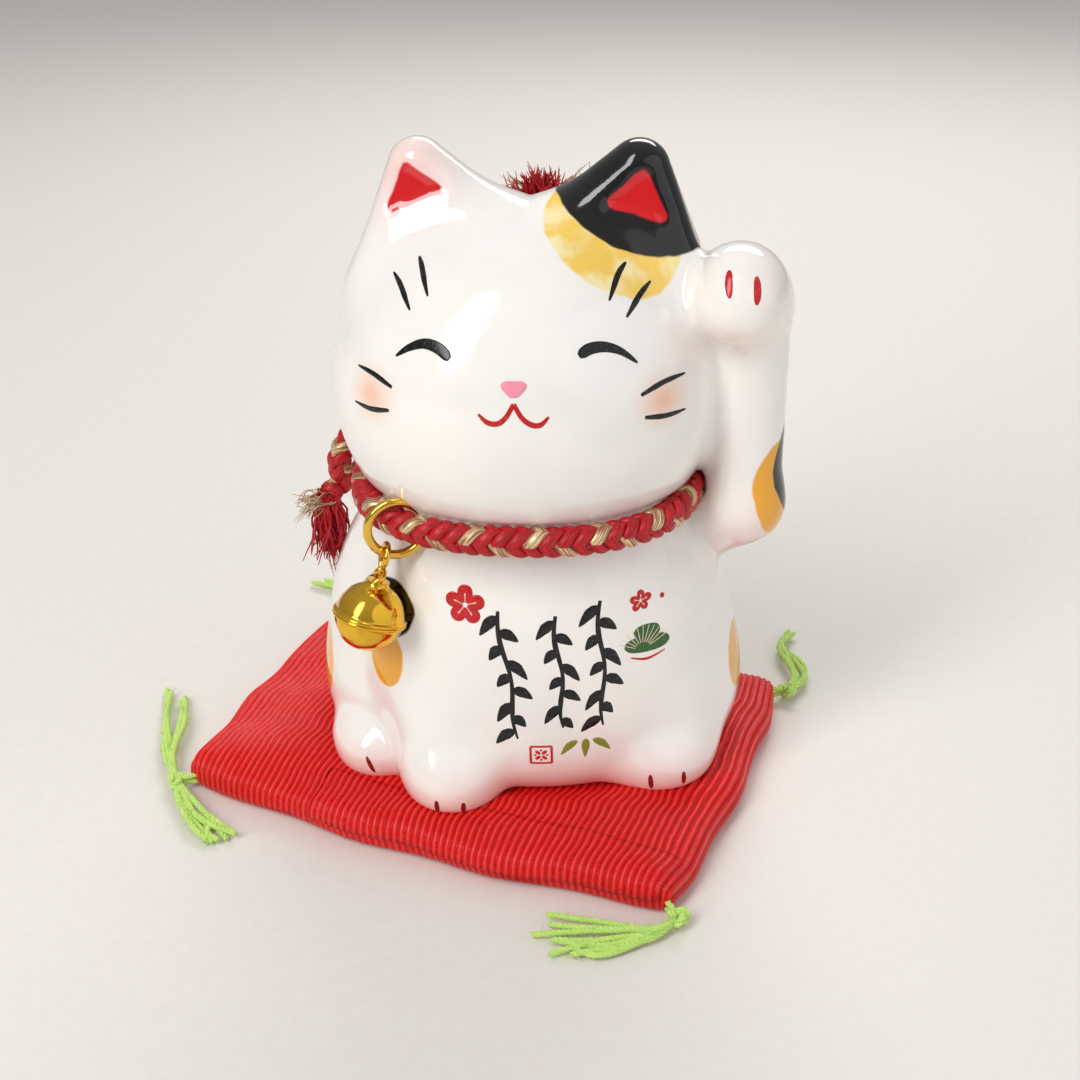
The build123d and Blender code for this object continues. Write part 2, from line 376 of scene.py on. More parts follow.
def cord_plan(points):
    """Distance in plan from the cord's centre line, a rounded square seen from above."""
    x = np.abs(points[:, 0] - CORD_CENTRE[0]) / CORD_HALF_WIDTH + 1e-6
    y = np.abs(points[:, 1] - CORD_CENTRE[1]) / CORD_HALF_DEPTH + 1e-6
    total = (x**CORD_SQUARENESS + y**CORD_SQUARENESS) ** (1 / CORD_SQUARENESS)
    slope_x = (x / total) ** (CORD_SQUARENESS - 1) / CORD_HALF_WIDTH
    slope_y = (y / total) ** (CORD_SQUARENESS - 1) / CORD_HALF_DEPTH
    return (total - 1) / np.sqrt(slope_x**2 + slope_y**2)


def cat_body(points):
    """The seated body with its haunches, feet, front leg and the short tail along its back."""
    leaning = points.copy()
    rise = np.clip((points[:, 2] - 15) / 29, 0, 1.2)
    leaning[:, 1] += 3.5 * rise**1.8
    body = egg(leaning, (-0.5, 2.6, 14.5), 28.3, 22.2, 22.4, 37.5, 14.8, 2.0, 2.6)
    left_haunch = egg(points, (-18.6, 2.5, 12.5), 10.6, 15.0, 15.0, 13.5, 11.0, 2.0, 2.2)
    right_haunch = egg(points, (17.6, 2.5, 12.5), 10.7, 15.5, 15.0, 13.5, 11.0, 2.0, 2.2)
    body = join(join(body, left_haunch, 2.0), right_haunch, 3.0)
    left_foot = egg(points, (-19.6, -8.6, 8.2), 7.2, 8.2, 9.0, 5.2, 6.2, 2.0, 2.3)
    right_foot = egg(points, (17.2, -8.2, 8.2), 8.6, 8.8, 9.0, 5.6, 6.2, 2.0, 2.3)
    body = join(join(body, left_foot, 1.6), right_foot, 2.6)
    front_leg = limb(points, (-15.0, -9.0, 29.0), (-9.4, -14.2, 11.0), 6.2, 6.9)
    front_paw = egg(points, (-8.9, -15.4, 8.2), 7.3, 8.2, 8.0, 5.4, 6.2, 2.0, 2.4)
    body = join(body, join(front_leg, front_paw, 3.0), 2.2)
    tail_root = limb(points, (-3.0, 23.0, 8.6), (8.0, 23.4, 9.4), 3.8, 3.8)
    tail_tip = limb(points, (8.0, 23.4, 9.4), (17.0, 19.8, 12.4), 3.8, 3.4)
    return join(body, np.minimum(tail_root, tail_tip), 1.8)


def cat_arm(points):
    """The raised arm: elbow out beside the neck, hand up beside the ear."""
    upper_arm = limb(points, (18.5, 1.0, 33.5), (27.6, -1.6, 41.2), 5.0, 4.8)
    forearm = limb(points, (27.6, -1.6, 41.2), (27.5, -2.4, 67.0), 4.8, 4.8)
    hand = egg(points, (25.9, -5.4, 70.0), 6.0, 7.3, 7.0, 6.2, 5.4, 2.0, 2.2)
    return join(join(upper_arm, forearm, 3.0), hand, 3.2)


def cat_field(points):
    """Distance, nearly, to the whole cat."""
    head = egg(points, HEAD_CENTRE, HEAD_HALF_WIDTH, HEAD_DEPTH, HEAD_DEPTH, 21.4, 21.6, 2.0, 2.3)
    ears = np.minimum(ear_field(points, -1), ear_field(points, 1))
    shape = join(head, ears, EAR_CREASE) + ear_hollow(points)
    shape = join(shape, cat_body(points), NECK_CREASE)
    shape = join(shape, cat_arm(points), ARM_CREASE)
    cord = np.hypot(cord_plan(points), points[:, 2] - CORD_CENTRE[2]) - CORD_RADIUS
    shape = carve(shape, cord, CORD_GROOVE_EDGE)
    shape = carve(shape, points[:, 2] - CAT_BASE, BASE_EDGE)
    vent = np.hypot(points[:, 0], points[:, 1] - VENT_BACK) - VENT_RADIUS
    return carve(shape, np.maximum(vent, points[:, 2] - CAT_BASE - VENT_DEPTH), VENT_EDGE)


# ---- materials ----
def colour(red, green, blue):
    """A screen colour from 0 to 255 as the linear colour that shaders take."""
    return tuple((part / 255) ** 2.2 for part in (red, green, blue)) + (1.0,)


class Material:
    """A node material built up around one Principled shader."""

    def __init__(self, name, **settings):
        self.data = bpy.data.materials.new(name)
        self.data.use_nodes = True
        self.tree = self.data.node_tree
        self.shader = self.tree.nodes["Principled BSDF"]
        for key, value in settings.items():
            self.feed(self.shader, key.replace("_", " "), value)

    def feed(self, node, key, value):
        """Links a socket, or sets a plain value."""
        if isinstance(value, bpy.types.NodeSocket):
            self.tree.links.new(value, node.inputs[key])
        else:
            node.inputs[key].default_value = value

    def node(self, kind, inputs=None, **settings):
        """A new node with its properties set and its inputs fed."""
        made = self.tree.nodes.new("ShaderNode" + kind)
        for key, value in settings.items():
            setattr(made, key, value)
        for key, value in (inputs or {}).items():
            self.feed(made, key, value)
        return made

    def maths(self, operation, first, second=0.0, third=0.0):
        """One sum; operation is Blender's name for it."""
        made = self.node("Math", {0: first, 1: second, 2: third}, operation=operation)
        return made.outputs[0]

    def value(self, name):
        """A number stored on the mesh."""
        return self.node("Attribute", attribute_name=name).outputs["Fac"]

    def vector(self, name, scale=(1.0, 1.0, 1.0)):
        """A stored vector, or the object's own coordinates in millimetres, scaled on each axis."""
        if name == "place":
            source = self.node("TexCoord").outputs["Object"]
            scale = tuple(part / MM for part in scale)
        else:
            source = self.node("Attribute", attribute_name=name).outputs["Vector"]
        return self.node("VectorMath", {0: source, 1: scale}, operation="MULTIPLY").outputs[0]

    def noise(self, vector, scale=1.0, detail=3.0, roughness=0.5):
        """Soft noise from 0 to 1."""
        inputs = {"Vector": vector, "Scale": scale, "Detail": detail, "Roughness": roughness}
        return self.node("TexNoise", inputs).outputs["Fac"]

    def between(self, value, low, high, to_low=0.0, to_high=1.0):
        """The value moved smoothly from one range to another."""
        inputs = {0: value, 1: low, 2: high, 3: to_low, 4: to_high}
        return self.node("MapRange", inputs, interpolation_type="SMOOTHSTEP").outputs[0]

    def mix(self, share, first, second):
        """One colour laid over another."""
        made = self.node("Mix", {0: share, 6: first, 7: second}, data_type="RGBA")
        return made.outputs[2]

    def bump(self, height, depth, strength=1.0):
        """Relief in millimetres on the surface."""
        made = self.node("Bump", {"Height": height, "Distance": depth * MM, "Strength": strength})
        normal = self.shader.inputs["Normal"]
        if normal.is_linked:
            self.tree.links.new(normal.links[0].from_socket, made.inputs["Normal"])
        self.tree.links.new(made.outputs[0], normal)

    def set(self, key, value):
        """Feeds one input of the main shader."""
        self.feed(self.shader, key, value)


WHITE_GLAZE = colour(253, 249, 243)
PINK_SPRAY_AND_SHADE = colour(247, 196, 190)
BLUSH = colour(248, 164, 112)
BLACK_GLAZE = colour(7, 7, 8)
YELLOW_GLAZE = colour(252, 208, 92)
THIN_YELLOW = colour(255, 238, 182)
ORANGE_GLAZE = colour(243, 170, 38)
RED_GLAZE = colour(214, 16, 26)
RAW_CLAY = colour(222, 214, 200)


def glaze_wave(material):
    """Slow waves and small pits in a glossy glaze."""
    material.bump(material.noise(material.vector("place"), 0.16, 1.0), 0.25, 0.35)
    pits = material.noise(material.vector("place"), 2.2, 2.0)
    material.bump(material.between(pits, 0.70, 0.80), -0.02, 0.5)


def porcelain():
    """White glaze with patches, pink spray mixed with painted shade, and a bare foot, from distances stored
    on the mesh.
    """
    made = Material("porcelain", Specular_IOR_Level=0.55, Coat_Weight=0.6, Coat_Roughness=0.03)
    made.set("Subsurface Weight", 0.12)
    made.set("Subsurface Radius", (0.9, 0.55, 0.4))
    made.set("Subsurface Scale", 1.2 * MM)

    # the paint: patches with soft, slightly wandering edges over pink spray and painted shade in pink
    wobble = made.noise(made.vector("place"), 0.35, 1.0)
    ragged = made.between(wobble, 0.2, 0.8, -0.16, 0.16)
    tone = made.noise(made.vector("place"), 0.08, 2.0)
    shade = made.mix(made.between(tone, 0.3, 0.7), WHITE_GLAZE, colour(247, 243, 240))
    # pink spray on the left ear, and painted shade in pink towards the bottom, on the arm's outer edges and
    # under the raised paw
    shade = made.mix(made.value("spray_and_shade"), shade, PINK_SPRAY_AND_SHADE)
    shade = made.mix(made.value("blush"), shade, BLUSH)
    thin = made.noise(made.vector("place", (1.0, 1.0, 0.5)), 0.30, 3.0)
    yellow = made.mix(made.between(thin, 0.42, 0.70), YELLOW_GLAZE, THIN_YELLOW)
    dark = made.between(made.value("black"), 0.16, -0.16)
    for name, paint in (
        ("yellow", yellow),
        ("orange", ORANGE_GLAZE),
        ("black", BLACK_GLAZE),
        ("red", RED_GLAZE),
    ):
        edge = made.maths("ADD", made.value(name), ragged)
        shade = made.mix(made.between(edge, 0.16, -0.16), shade, paint)

    # the ring that stood on the kiln shelf has no glaze
    height = made.node("SeparateXYZ", {0: made.vector("place")}).outputs["Z"]
    foot = made.between(height, CAT_BASE + 0.5, CAT_BASE + 0.2)
    shade = made.mix(foot, shade, RAW_CLAY)
    made.set("Base Color", shade)
    streaks = made.noise(made.vector("place"), 0.5, 3.0)
    gloss = made.between(streaks, 0.3, 0.8, 0.06, 0.14)
    made.set("Roughness", made.maths("MULTIPLY_ADD", foot, 0.5, gloss))
    coat = made.maths("MULTIPLY_ADD", foot, -0.6, 0.6)
    made.set("Coat Weight", made.maths("MULTIPLY_ADD", dark, -0.35, coat))
    glaze_wave(made)
    return made.data


def enamel(name, paint, gloss=0.16):
    """Overglaze paint laid on with a brush: slightly uneven in colour and thickness."""
    made = Material(name, Coat_Weight=0.2, Coat_Roughness=0.05, Specular_IOR_Level=0.35)
    streaks = made.noise(made.vector("place"), 2.5, 3.0)
    pale = tuple(part + 0.05 * (0.8 - part) for part in paint[:3]) + (1.0,)
    made.set("Base Color", made.mix(made.between(streaks, 0.45, 0.85), paint, pale))
    made.set("Roughness", made.between(streaks, 0.3, 0.8, gloss, gloss + 0.14))
    made.bump(streaks, 0.03, 0.4)
    return made.data


def silk(name, paint, glint, sheen=0.6):
    """Silky thread with fine fibres along each strand, and metallic strands where kind is 1."""
    made = Material(name, Sheen_Weight=sheen, Sheen_Roughness=0.35)
    fibres = made.noise(made.vector("fibre", (0.35, 4.5, 4.5)), 1.0, 2.0)
    slubs = made.noise(made.vector("fibre", (1.6, 1.4, 1.4)), 1.0, 2.0)
    deep = tuple(part * 0.42 for part in paint[:3]) + (1.0,)
    thread = made.mix(made.between(fibres, 0.32, 0.68), deep, paint)
    gilt = made.mix(made.between(fibres, 0.4, 0.6), colour(150, 108, 72), glint)
    metal = made.between(made.value("kind"), 0.4, 0.6)
    made.set("Base Color", made.mix(metal, thread, gilt))
    made.set("Metallic", made.maths("MULTIPLY", metal, 0.6))
    rough = made.between(fibres, 0.3, 0.7, 0.42, 0.26)
    made.set("Roughness", made.maths("MULTIPLY_ADD", slubs, 0.12, rough))
    made.set("Sheen Tint", paint)
    made.bump(fibres, 0.07, 0.9)
    made.bump(slubs, 0.10, 0.4)
    return made.data


def gilt_metal(name, paint, rough):
    """Polished plated metal with hairline polishing marks and a few dull spots."""
    made = Material(name, Metallic=1.0)
    marks = made.noise(made.vector("place", (0.6, 0.6, 5.0)), 1.2, 4.0)
    spots = made.noise(made.vector("place"), 0.7, 3.0)
    dull = tuple(part * 0.72 for part in paint[:3]) + (1.0,)
    made.set("Base Color", made.mix(made.between(spots, 0.5, 0.8, 0.0, 0.6), paint, dull))
    made.set("Roughness", made.maths("MULTIPLY_ADD", marks, 0.10, rough))
    made.bump(marks, 0.008, 0.4)
    made.bump(spots, 0.05, 0.15)
    return made.data


RIB_COUNT = 78
RED_SATIN = colour(218, 4, 16)


def ribbed_satin():
    """Red ribbed cloth: fine crosswise weave on each rib, lustre that shifts, painted shade in the rib
    valleys, painted highlight lines on the rib crests, and sparkling threads.
    """
    made = Material("ribbed_satin", Sheen_Weight=0.05, Sheen_Roughness=0.3, Specular_IOR_Level=0.3)
    made.set("Sheen Tint", colour(255, 60, 60))
    weave = made.noise(made.vector("cloth", (1.1, 4.5, 1.0)), 1.0, 2.0)
    thread = made.noise(made.vector("cloth", (4.5, 0.35, 1.0)), 1.0, 2.0)
    patchy = made.noise(made.vector("cloth", (0.9, 0.5, 1.0)), 1.0, 2.0)
    crest = made.value("crest")
    # painted shade: the cloth is darker down in the valleys between the ribs
    shade = made.mix(made.between(crest, 0.10, 0.60), colour(150, 0, 8), RED_SATIN)
    shade = made.mix(made.between(weave, 0.4, 0.75, 0.0, 0.35), shade, colour(252, 40, 40))
    # painted highlight: thin pale lines along the rib crests, broken up in patches
    crest_highlight = made.between(crest, 0.86, 0.97)
    broken = made.between(patchy, 0.25, 0.6, 0.35, 1.0)
    line = made.maths("MULTIPLY", crest_highlight, broken)
    shade = made.mix(made.maths("MULTIPLY", line, 0.42), shade, colour(255, 100, 88))
    made.set("Base Color", shade)
    glitter = made.noise(made.vector("cloth", (1.4, 3.2, 1.0)), 1.6, 1.0)
    spark = made.maths("MULTIPLY", made.between(glitter, 0.66, 0.72), crest)
    made.set("Metallic", made.maths("MULTIPLY", spark, 0.7))
    rough = made.between(weave, 0.3, 0.7, 0.50, 0.34)
    made.set("Roughness", made.maths("MULTIPLY_ADD", spark, -0.12, rough))
    made.bump(weave, 0.09, 0.7)
    made.bump(thread, 0.05, 0.5)
    return made.data


def yarn_green():
    """Pale yellow-green cotton yarn with loose fibres in its twist."""
    paint = colour(216, 245, 142)
    made = Material("yarn_green", Roughness=0.75, Sheen_Weight=0.5, Sheen_Roughness=0.5)
    made.set("Subsurface Weight", 0.15)
    made.set("Subsurface Scale", 0.4 * MM)
    fibres = made.noise(made.vector("fibre", (0.5, 3.5, 3.5)), 1.0, 3.0)
    made.set("Base Color", made.mix(made.between(fibres, 0.3, 0.7), colour(178, 224, 96), paint))
    made.set("Sheen Tint", colour(240, 248, 190))
    made.bump(fibres, 0.09, 0.9)
    return made.data


def steel_grey():
    """Tumbled steel of the pellet."""
    made = Material("pellet_steel", Metallic=1.0)
    marks = made.noise(made.vector("place"), 3.0, 4.0)
    made.set("Base Color", made.mix(marks, colour(120, 118, 116), colour(176, 174, 170)))
    made.set("Roughness", made.between(marks, 0.3, 0.7, 0.24, 0.42))
    made.bump(marks, 0.02, 0.5)
    return made.data


def table_finish():
    """The plain pale floor."""
    made = Material("floor_pale", Specular_IOR_Level=0.3)
    grain = made.noise(made.vector("place"), 0.6, 3.0)
    made.set("Base Color", made.mix(grain, colour(226, 222, 216), colour(234, 231, 226)))
    made.set("Roughness", made.between(grain, 0.3, 0.7, 0.5, 0.62))
    return made.data


# ---- the cat: glazed shell with patches ----
cat_cell = 0.5
cat_margin = 3.0
cat_points, cat_quads = surface(cat_field, cat_low - cat_margin, cat_high + cat_margin, cat_cell)


def spread(centre, size, soft):
    """How strongly sprayed colour shows around a centre: 1 in the middle, fading to 0."""
    away = length((cat_points - np.array(centre)) / np.array(size))
    return np.clip((1 + soft - away) / (2 * soft), 0, 1) ** 1.5


def patch(*eggs):
    """Distance to the edge of a patch made of eggs: centre, then half width, half depth, half height."""
    near = []
    for centre, (wide, deep, tall) in eggs:
        near.append(egg(cat_points, centre, wide, deep, deep, tall, tall))
    return np.min(near, axis=0)


black_patch = patch(
    ((14.6, 1.0, 84.6), (11.3, 11.6, 12.7)),
    ((35.4, -1.2, 47.0), (5.6, 5.8, 7.6)),
    ((-17.6, -14.2, 30.8), (5.0, 4.4, 4.2)),
    ((-9.0, 22.0, 31.0), (8.5, 6.5, 6.0)),
    ((-14.5, 19.0, 34.0), (6.5, 6.5, 5.0)),
    ((16.0, 20.0, 12.4), (6.0, 6.0, 6.0)),
    ((-13.0, 14.5, 68.0), (8.0, 8.0, 6.0)),
    ((-8.0, 14.5, 72.0), (6.0, 8.0, 5.0)),
)
yellow_patch = patch(
    ((10.7, -3.6, 75.8), (8.2, 8.8, 11.7)),
)
orange_patch = patch(
    ((32.8, -4.4, 44.6), (4.7, 4.9, 6.8)),
    ((-17.2, -15.8, 24.3), (2.7, 3.4, 4.3)),
    ((-28.6, -3.6, 16.5), (2.8, 5.2, 5.4)),
    ((28.8, -0.6, 18.0), (2.9, 5.2, 5.0)),
    ((5.0, 24.5, 23.0), (8.0, 7.0, 4.5)),
    ((9.5, 24.0, 26.0), (5.5, 7.0, 5.0)),
    ((-2.0, 21.0, 56.0), (7.0, 7.0, 4.5)),
    ((-6.0, 21.0, 53.0), (5.0, 7.0, 4.5)),
)
# painted shade in pink: it grows towards the bottom and the front, and lies on the arm's outer edges and
# under the raised paw; the spot on the left ear is pink spray
front_share = np.clip(-cat_points[:, 1] / 12, 0, 1)
low_painted_shade = np.clip((13.0 - cat_points[:, 2]) / 8, 0, 1) ** 1.3 * (0.35 + 0.5 * front_share)
spray_and_shade = np.max(
    [
        low_painted_shade,
        0.75 * spread((-13.0, -2.0, 83.0), (5.0, 4.0, 6.0), 0.8),
        0.55 * spread((30.5, -6.0, 36.0), (5.0, 7.0, 7.0), 0.8),
        0.40 * spread((31.0, -4.0, 72.0), (5.0, 7.0, 6.0), 0.9),
        0.35 * spread((23.5, -11.0, 65.5), (5.0, 4.0, 3.0), 0.9),
    ],
    axis=0,
)
blush = 0.62 * np.maximum(
    spread((-16.6, -15.0, 60.4), (2.9, 3.0, 2.6), 0.75),
    spread((17.4, -14.4, 60.4), (2.9, 3.0, 2.6), 0.75),
)

cat_faces = cat_quads.tolist()
cat = make_piece("cat_glaze", cat_points, cat_faces, porcelain(), "cat", ["cat_shell"])
for name, values in (
    ("black", black_patch),
    ("yellow", yellow_patch),
    ("orange", orange_patch),
    ("red", ear_inside(cat_points)),
    ("spray_and_shade", spray_and_shade),
    ("blush", blush),
):
    add_values(cat, name, values)

# ---- painted strokes: thin raised enamel that follows the glaze ----
glaze_tree = BVHTree.FromPolygons(cat_points.tolist(), cat_faces)
PAINT_RISE = 0.045
PAINT_SINK = 0.12
STROKE_STEP = 0.22
STROKE_ACROSS = np.linspace(-1, 1, 9)


def on_front(x, z):
    """The point of the cat's front at that x and height."""
    found = glaze_tree.ray_cast(Vector((x, -40.0, z)), Vector((0, 1, 0)))[0]
    if found is None:
        found = glaze_tree.find_nearest(Vector((x, -18.0, z)))[0]
    return np.array(found)


def brush(shape, path, widths, rise=PAINT_RISE):
    """One brush stroke through (x, height) points of the front; widths are half widths along it."""
    ends = np.array([on_front(x, z) for x, z in path])
    total = length(np.diff(ends, axis=0)).sum()
    count = max(7, int(total / STROKE_STEP))
    line = cubic(ends, count)
    half = np.interp(np.linspace(0, 1, count), np.linspace(0, 1, len(widths)), widths)
    tangents = unit(np.gradient(line, axis=0))
    rings = []
    for place, tangent, width in zip(line, tangents, half):
        normal = np.array(glaze_tree.find_nearest(Vector(place))[1])
        side = unit(np.cross(normal, tangent))
        upper = []
        lower = []
        for across in STROKE_ACROSS:
            near, facing = glaze_tree.find_nearest(Vector(place + side * across * width))[:2]
            near, facing = np.array(near), np.array(facing)
            crown = rise * (1 - 0.9 * across**4)
            upper.append(near + facing * crown)
            lower.append(near - facing * PAINT_SINK)
        rings.append(upper + lower[::-1])
    shape.add(rings)


def rounded(longest, points=5, tip=0.12):
    """Half widths of a stroke that is round at both ends."""
    places = np.linspace(-0.97, 0.97, points)
    return [max(tip, longest * math.sqrt(1 - place * place)) for place in places]


def paint(name, strokes, material):
    """All strokes of one colour as one piece."""
    shape = Shape()
    for stroke in strokes:
        brush(shape, *stroke)
    return shape.piece(name, material, "cat", slot="glazed_ceramic")


def around(centre, start, end, angle):
    """A straight stroke pointing away from a centre, from one distance to another."""
    turn = (math.cos(math.radians(angle)), math.sin(math.radians(angle)))
    return [(centre[0] + turn[0] * away, centre[1] + turn[1] * away) for away in (start, end)]


PETAL_TURNS = range(90, 450, 72)


def blossom(centre, size):
    """Five round petals of a plum blossom."""
    widths = rounded(0.40 * size, 7)
    return [(around(centre, 0.12 * size, size, turn), widths) for turn in PETAL_TURNS]


def stamens(centre, size):
    """Light lines in the middle of a blossom, each ending in a dot."""
    lines = [(around(centre, 0.1 * size, 0.42 * size, turn), [0.07, 0.06], 0.08) for turn in PETAL_TURNS]
    dots = [(around(centre, 0.42 * size, 0.58 * size, turn), [0.1, 0.13, 0.1], 0.08) for turn in PETAL_TURNS]
    return lines + dots


def leaf(root, turn, size, width):
    """A pointed leaf, as one press of the brush."""
    tip = around(root, 0, size, turn)[1]
    bow = ((root[0] + tip[0]) / 2, (root[1] + tip[1]) / 2 + 0.1 * size)
    return ([root, bow, tip], [0.12, 0.85 * width, width, 0.6 * width, 0.06])


def sprig(top, bottom, leaves, size):
    """A falling leafy twig: a wavy stem with leaves on both sides."""
    top, bottom = np.array(top), np.array(bottom)
    fall = bottom - top
    across = np.array((fall[1], -fall[0])) / np.linalg.norm(fall)

    def on_stem(share):
        """A point of the wavy stem."""
        return tuple(top + fall * share + across * 0.35 * math.sin(9 * share))

    strokes = [([on_stem(share) for share in np.linspace(0, 1, 9)], [0.22, 0.36, 0.24, 0.34, 0.14])]
    slant = math.degrees(math.atan2(fall[1], fall[0]))
    for index in range(leaves):
        root = on_stem((index + 0.35) / leaves)
        side = 1 if index % 2 else -1
        long = size * (1.0 + 0.25 * math.sin(2.3 * index + 1))
        strokes.append(leaf(root, slant + side * (48 + 9 * math.sin(1.7 * index)), long, 0.27 * size))
    return strokes


black_paint = enamel("paint_black", colour(10, 9, 10))
red_paint = enamel("paint_red", colour(196, 22, 26))
eye_widths = [0.12, 0.28, 0.40, 0.49, 0.56, 0.61, 0.65, 0.67, 0.68, 0.62, 0.30]
brow_widths = [0.12, 0.33, 0.36, 0.12]
inner_brow_widths = [0.14, 0.33, 0.36, 0.12]
whisker_widths = [0.1, 0.3, 0.34, 0.2]
mouth_widths = [0.14, 0.32, 0.34, 0.3, 0.26]
face_lines = [
    ([(-11.4, 74.9), (-10.8, 74.0), (-9.7, 71.9)], inner_brow_widths),
    ([(-14.5, 73.0), (-13.2, 72.0), (-11.8, 70.3)], brow_widths),
    ([(12.6, 74.5), (11.8, 73.6), (11.0, 71.6)], inner_brow_widths),
    ([(15.5, 72.4), (14.3, 71.4), (13.0, 69.8)], brow_widths),
    ([(-13.3, 65.6), (-11.6, 66.8), (-9.7, 67.5), (-7.9, 67.2), (-6.7, 66.3)], eye_widths),
    ([(14.4, 65.2), (12.5, 66.7), (10.7, 67.4), (9.1, 67.4), (7.9, 66.8)], eye_widths),
    ([(-18.5, 63.1), (-16.2, 62.9), (-13.8, 62.1)], whisker_widths),
    ([(-19.1, 58.7), (-16.8, 58.7), (-14.3, 59.3)], whisker_widths),
    ([(19.8, 62.5), (17.4, 62.4), (14.9, 61.6)], whisker_widths),
    ([(20.0, 58.3), (17.8, 58.4), (15.4, 58.9)], whisker_widths),
]
mouth_lines = [
    ([(-3.3, 60.7), (-2.3, 59.8), (-1.1, 59.7), (-0.1, 60.5), (0.75, 62.0)], mouth_widths),
    ([(4.7, 60.5), (3.8, 59.6), (2.8, 59.6), (1.7, 60.4), (0.75, 62.0)], mouth_widths),
]
toe_lines = [
    ([(24.4, 74.5), (24.5, 71.9)], rounded(0.46, 5, 0.16)),
    ([(27.5, 74.0), (27.6, 71.2)], rounded(0.46, 5, 0.16)),
]
foot_lines = [
    ([(-10.2, 7.6), (-10.2, 5.4)], rounded(0.34, 5, 0.12)),
    ([(-6.8, 7.3), (-6.9, 5.4)], rounded(0.34, 5, 0.12)),
    ([(-20.6, 9.0), (-19.7, 6.4)], rounded(0.32, 5, 0.12)),
    ([(17.0, 8.4), (17.2, 6.0)], rounded(0.34, 5, 0.12)),
    ([(21.3, 8.4), (21.4, 6.2)], rounded(0.34, 5, 0.12)),
]
plum = (-6.3, 33.6)
small_plum = (15.2, 32.9)
seal = (3.0, 12.6)
blossoms = blossom(plum, 2.55) + blossom(small_plum, 1.35)
blossoms.append(([(17.7, 33.0), (18.0, 32.4)], rounded(0.36, 5)))
stamen_lines = stamens(plum, 2.55) + stamens(small_plum, 1.35)
pine_tufts = [
    ([(13.4, 27.2), (18.9, 26.9)], rounded(1.15, 9, 0.2)),
    ([(14.5, 28.7), (17.7, 28.6)], rounded(1.05, 9, 0.2)),
]
needles = [(around((15.6, 26.4), 1.0, 3.2, turn), [0.06, 0.05], 0.08) for turn in range(25, 156, 13)]
pine_stem = [([(14.2, 25.6), (16.2, 25.0), (18.4, 25.5)], [0.08, 0.2, 0.08])]
bamboo = [
    leaf((7.6, 14.6), 225, 2.9, 0.55),
    leaf((8.7, 14.8), 268, 2.9, 0.55),
    leaf((9.6, 14.6), 318, 2.9, 0.55),
]
SEAL_HALF = 1.35
seal_corners = [(-1, 1), (1, 1), (1, -1), (-1, -1)]
seal_lines = []
for index, corner in enumerate(seal_corners):
    other = seal_corners[(index + 1) % 4]
    ends = [(seal[0] + SEAL_HALF * x, seal[1] + SEAL_HALF * y) for x, y in (corner, other)]
    seal_lines.append((ends, [0.17, 0.17, 0.17]))
    seal_lines.append((around(seal, 0.2, 1.0, 45 + 90 * index), rounded(0.26, 5)))
    seal_lines.append((around(seal, 0.62, 0.92, 90 * index), rounded(0.16, 5)))
twigs = (
    sprig((-2.2, 33.2), (0.2, 15.2), 9, 2.9)
    + sprig((4.9, 32.6), (6.0, 16.8), 8, 2.7)
    + sprig((10.3, 34.0), (11.0, 16.6), 9, 2.8)
)

paint("face_lines", face_lines, black_paint)
paint("brush_twigs", twigs, black_paint)
paint("mouth", mouth_lines, red_paint)
paint("paw_toe_lines", toe_lines, red_paint)
paint("foot_toe_lines", foot_lines, enamel("paint_brown_red", colour(140, 22, 26)))
paint("nose", [([(0.75, 64.5), (0.75, 63.8), (0.75, 62.7)], [0.9, 1.45, 1.5, 1.0, 0.4])],
      enamel("paint_pink", colour(248, 150, 172)))
paint("blossoms", blossoms, red_paint)
paint("stamens", stamen_lines + needles, enamel("paint_light", colour(244, 214, 200)))
paint("pine_tufts", pine_tufts, enamel("paint_green", colour(52, 98, 48)))
paint("pine_stem", pine_stem, red_paint)
paint("bamboo", bamboo, enamel("paint_olive", colour(132, 140, 52)))
paint("seal", seal_lines, enamel("paint_seal", colour(206, 44, 40)))

# ---- braided cord ----
BRAID_PITCH = 7.7
STRANDS_EACH_WAY = 4
STRAND_REACH = 1.13
STRAND_WAVE = 0.30
STRAND_HALF_WIDTH = 0.78
STRAND_HALF_HEIGHT = 0.50
TURN_POINTS = 22
STRAND_SIDES = 10
GILT_STRAND = {1: 0, -1: 2}


